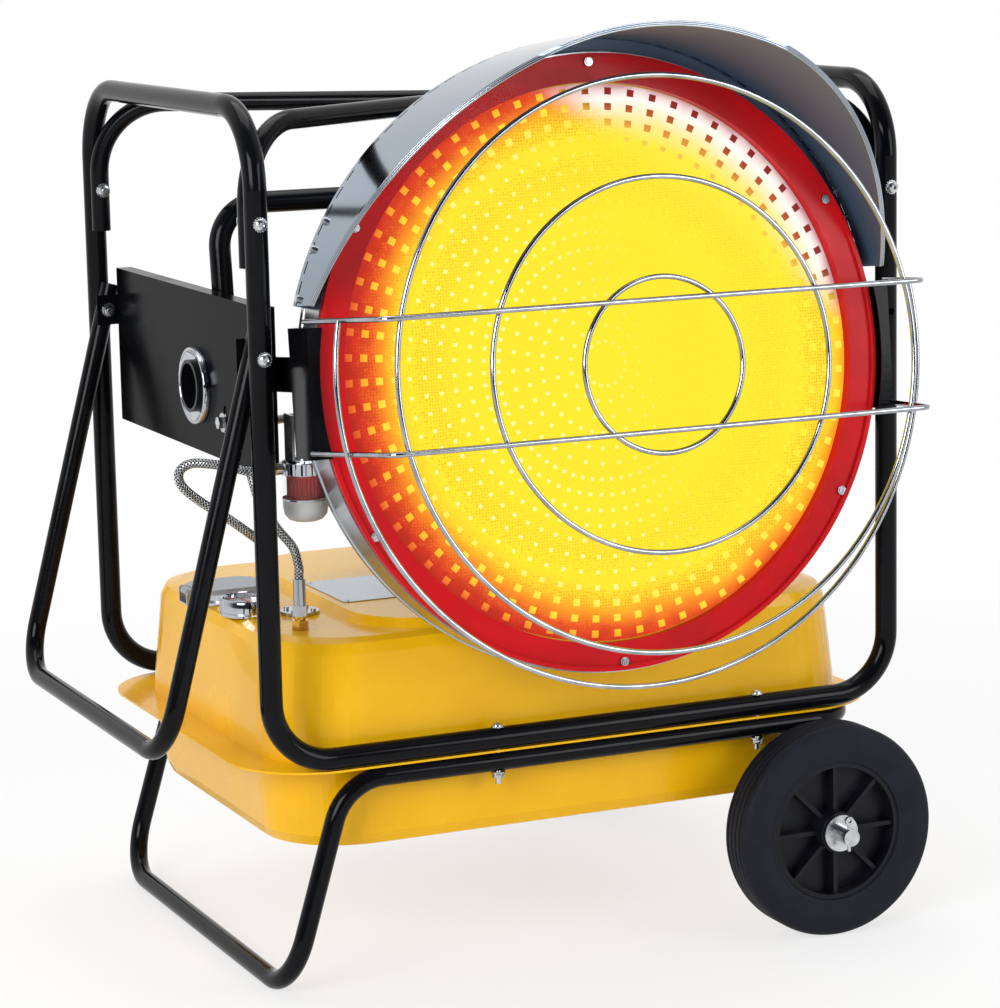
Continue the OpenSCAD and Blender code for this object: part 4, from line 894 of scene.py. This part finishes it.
class HEATER_OT_tyres(Operator):
    """Turns the two solid rubber tyres with their four tread grooves and sidewall rings"""

    bl_idname = "heater.tyres"
    bl_label = "Tyres"

    def execute(self, context):
        ro, ri, w = TYRE_R, RIM_R, TYRE_W / 2.0
        wall = [(ri, 0.75 * w), (ri + 0.0012, 0.84 * w), (ri + 0.0040, 0.87 * w),
                (ri + 0.0058, 0.90 * w), (ri + 0.0066, 0.885 * w), (ro - 0.0240, 0.985 * w),
                (ro - 0.0180, w), (ro - 0.0166, 0.982 * w), (ro - 0.0110, 0.975 * w),
                (ro - 0.0066, 0.94 * w), (ro - 0.0032, 0.86 * w), (ro - 0.0010, 0.73 * w),
                (ro, 0.60 * w)]
        tread = []
        for z in (0.0136, 0.0046, -0.0046, -0.0136):
            tread += [(ro, z + 0.0013), (ro - 0.0024, z + 0.0008), (ro - 0.0024, z - 0.0008),
                      (ro, z - 0.0013)]
        profile = wall + tread + [(r, -z) for r, z in reversed(wall)]
        for side, name in ((-1.0, "front"), (1.0, "rear")):
            place = (PLACED @ Matrix.Translation(AXLE + Vector((0.0, side * WHEEL_Y, 0.0)))
                     @ Matrix.Rotation(-RIGHT, 4, "X"))
            put(lathe(profile, 144, closed=True), name + "_tyre_rubber", name + "_wheel",
                "rubber", place, (name + "_tyre",), sharp=28.0)
        return {"FINISHED"}


# ---------------------------------------------------------------- stage and camera

# Each lamp's place, width and power
LAMPS = {
    "key_lamp": ((-3.4, -2.6, 2.1), 2.2, 140.0),
    "fill_lamp": ((2.4, -3.6, 1.8), 2.0, 70.0),
    "top_lamp": ((0.2, 0.4, 3.6), 2.4, 50.0),
}
LAMPS_AIM = Vector((0.0, 0.0, 0.5))

# The camera, as fitted to the photograph: its place, its turns, and its lens in pixels
CAMERA_AT = (-1.5745, -3.6187, 1.1915)
CAMERA_TURN, CAMERA_PITCH, CAMERA_ROLL = 0.4200293, 0.1742242, -0.0203967
LENS_PIXELS, FRAME_PIXELS, SENSOR = 3405.512, 1000.0, 36.0


def white_floor(near_share):
    # Matt white floor that keeps the shadow. Away from the object it is plain white, so that
    # no line shows where it ends.
    made = bpy.data.materials.new("white_floor")
    made.use_nodes = True
    tree = made.node_tree
    tree.nodes.clear()
    cloud = add(tree, "TexNoise", {"Scale": 3.0})
    tone = add(tree, "ValToRGB", links={"Fac": cloud}, ramp=[(0.0, "#F2F2F2"), (1.0, "#F6F6F6")])
    matt = add(tree, "BsdfDiffuse", links={"Color": tone})
    white = add(tree, "Emission", {"Color": rgb("#FFFFFF"), "Strength": 1.0})
    seen = add(tree, "LightPath")
    either = add(tree, "Math", links={0: (seen, "Is Camera Ray"), 1: (seen, "Is Glossy Ray")},
                 operation="MAXIMUM")
    any_ray = add(tree, "Math", links={0: either, 1: (seen, "Is Transmission Ray")},
                  operation="MAXIMUM")
    where = add(tree, "TexCoord")
    far = add(tree, "VectorMath", links={0: (where, "Object")}, operation="LENGTH")
    grown = add(tree, "MapRange",
                {"From Min": 0.9, "From Max": 2.4, "To Min": near_share, "To Max": 1.0},
                {"Value": (far, "Value")}, interpolation_type="SMOOTHSTEP")
    share = add(tree, "Math", links={0: any_ray, 1: grown}, operation="MULTIPLY")
    mixed = add(tree, "MixShader", links={0: share, 1: matt, 2: white})
    add(tree, "OutputMaterial", links={"Surface": mixed})
    made.cycles.emission_sampling = "NONE"
    return made


def studio():
    # The studio: pale overhead and behind the object, darker in the room behind the camera
    world = bpy.data.worlds.new("studio")
    world.use_nodes = True
    tree = world.node_tree
    tree.nodes.clear()
    where = add(tree, "TexCoord")
    front = add(tree, "VectorMath", {1: (-0.42, -0.90, 0.12)},
                {0: (where, "Generated")}, operation="DOT_PRODUCT")
    room = add(tree, "ValToRGB", links={"Fac": (front, "Value")},
               ramp=[(0.0, "#FFFFFF"), (0.25, "#D9DCE2"), (0.55, "#5A5E68"), (0.85, "#2C2F36")])
    seen = add(tree, "LightPath")
    either = add(tree, "Math", links={0: (seen, "Is Camera Ray"), 1: (seen, "Is Transmission Ray")},
                 operation="MAXIMUM")
    plain = add(tree, "Mix", {7: rgb("#FFFFFF")}, {0: either, 6: room}, data_type="RGBA")
    glossy = add(tree, "Math", links={0: either, 1: (seen, "Is Glossy Ray")}, operation="MAXIMUM")
    level = add(tree, "MapRange", {"To Min": 0.75, "To Max": 1.0}, {"Value": glossy})
    sky = add(tree, "Background", links={"Color": (plain, 2), "Strength": level})
    add(tree, "OutputWorld", links={"Surface": sky})
    return world


def camera_place():
    """The camera's place and turn: across, up and back in the photograph's frame."""
    turn, pitch, roll = CAMERA_TURN, CAMERA_PITCH, CAMERA_ROLL
    ahead = Vector((math.sin(turn) * math.cos(pitch), math.cos(turn) * math.cos(pitch),
                    -math.sin(pitch)))
    right = Vector((math.cos(turn), -math.sin(turn), 0.0))
    up = right.cross(ahead)
    across = math.cos(roll) * right + math.sin(roll) * up
    above = -math.sin(roll) * right + math.cos(roll) * up
    return Matrix.Translation(CAMERA_AT) @ Matrix((across, above, -ahead)).transposed().to_4x4()


class HEATER_OT_stage(Operator):
    """Lays the floor, hangs the lamps and sets the camera where the photograph was taken"""

    bl_idname = "heater.stage"
    bl_label = "Stage and camera"

    def execute(self, context):
        scene = context.scene
        bpy.ops.mesh.primitive_plane_add(size=30.0, location=(0.0, 0.0, 0.0))
        floor = context.object
        floor.name = "floor"
        floor.data.materials.append(white_floor(scene.heater_colours.floor_white))
        scene.world = studio()

        for name, (spot, size, power) in LAMPS.items():
            light = bpy.data.lights.new(name, "AREA")
            light.size = size
            light.energy = power
            lamp = bpy.data.objects.new(name, light)
            scene.collection.objects.link(lamp)
            aim = LAMPS_AIM - Vector(spot)
            lamp.matrix_world = upright(*spot) @ aim.to_track_quat("-Z", "Y").to_matrix().to_4x4()

        camera = bpy.data.objects.new("camera", bpy.data.cameras.new("camera"))
        scene.collection.objects.link(camera)
        camera.matrix_world = camera_place()
        camera.data.sensor_fit = "HORIZONTAL"
        camera.data.sensor_width = SENSOR
        camera.data.lens = LENS_PIXELS * SENSOR / FRAME_PIXELS
        camera.data.clip_end = 60.0
        scene.camera = camera
        scene.view_settings.view_transform = "Standard"
        return {"FINISHED"}


# ---------------------------------------------------------------- panel and registration

STEPS = (HEATER_OT_finishes, HEATER_OT_emitter, HEATER_OT_hoses, HEATER_OT_hood_beads,
         HEATER_OT_collars, HEATER_OT_bolts, HEATER_OT_gauge, HEATER_OT_plate,
         HEATER_OT_strainer, HEATER_OT_tyres, HEATER_OT_stage)


class HEATER_PT_panel(Panel):
    """Lists the sizes, the colours and the steps that make the heater"""

    bl_idname = "HEATER_PT_panel"
    bl_label = "Infrared heater"
    bl_space_type = "VIEW_3D"
    bl_region_type = "UI"
    bl_category = "Heater"

    def draw(self, context):
        for group in (context.scene.heater_sizes, context.scene.heater_colours):
            for key in group.__annotations__:
                self.layout.prop(group, key)
        for step in STEPS:
            self.layout.operator(step.bl_idname)


CLASSES = (HeaterSizes, HeaterColours) + STEPS + (HEATER_PT_panel,)


def register():
    for kind in CLASSES:
        bpy.utils.register_class(kind)
    bpy.types.Scene.heater_sizes = PointerProperty(type=HeaterSizes)
    bpy.types.Scene.heater_colours = PointerProperty(type=HeaterColours)


def unregister():
    del bpy.types.Scene.heater_colours
    del bpy.types.Scene.heater_sizes
    for kind in reversed(CLASSES):
        bpy.utils.unregister_class(kind)


def main():
    register()
    bpy.ops.heater.finishes()
    bpy.ops.heater.emitter()
    bpy.ops.heater.hoses()
    bpy.ops.heater.hood_beads()
    bpy.ops.heater.collars()
    bpy.ops.heater.bolts()
    bpy.ops.heater.gauge()
    bpy.ops.heater.plate()
    bpy.ops.heater.strainer()
    bpy.ops.heater.tyres()
    bpy.ops.heater.stage()


if __name__ == "__main__":
    main()
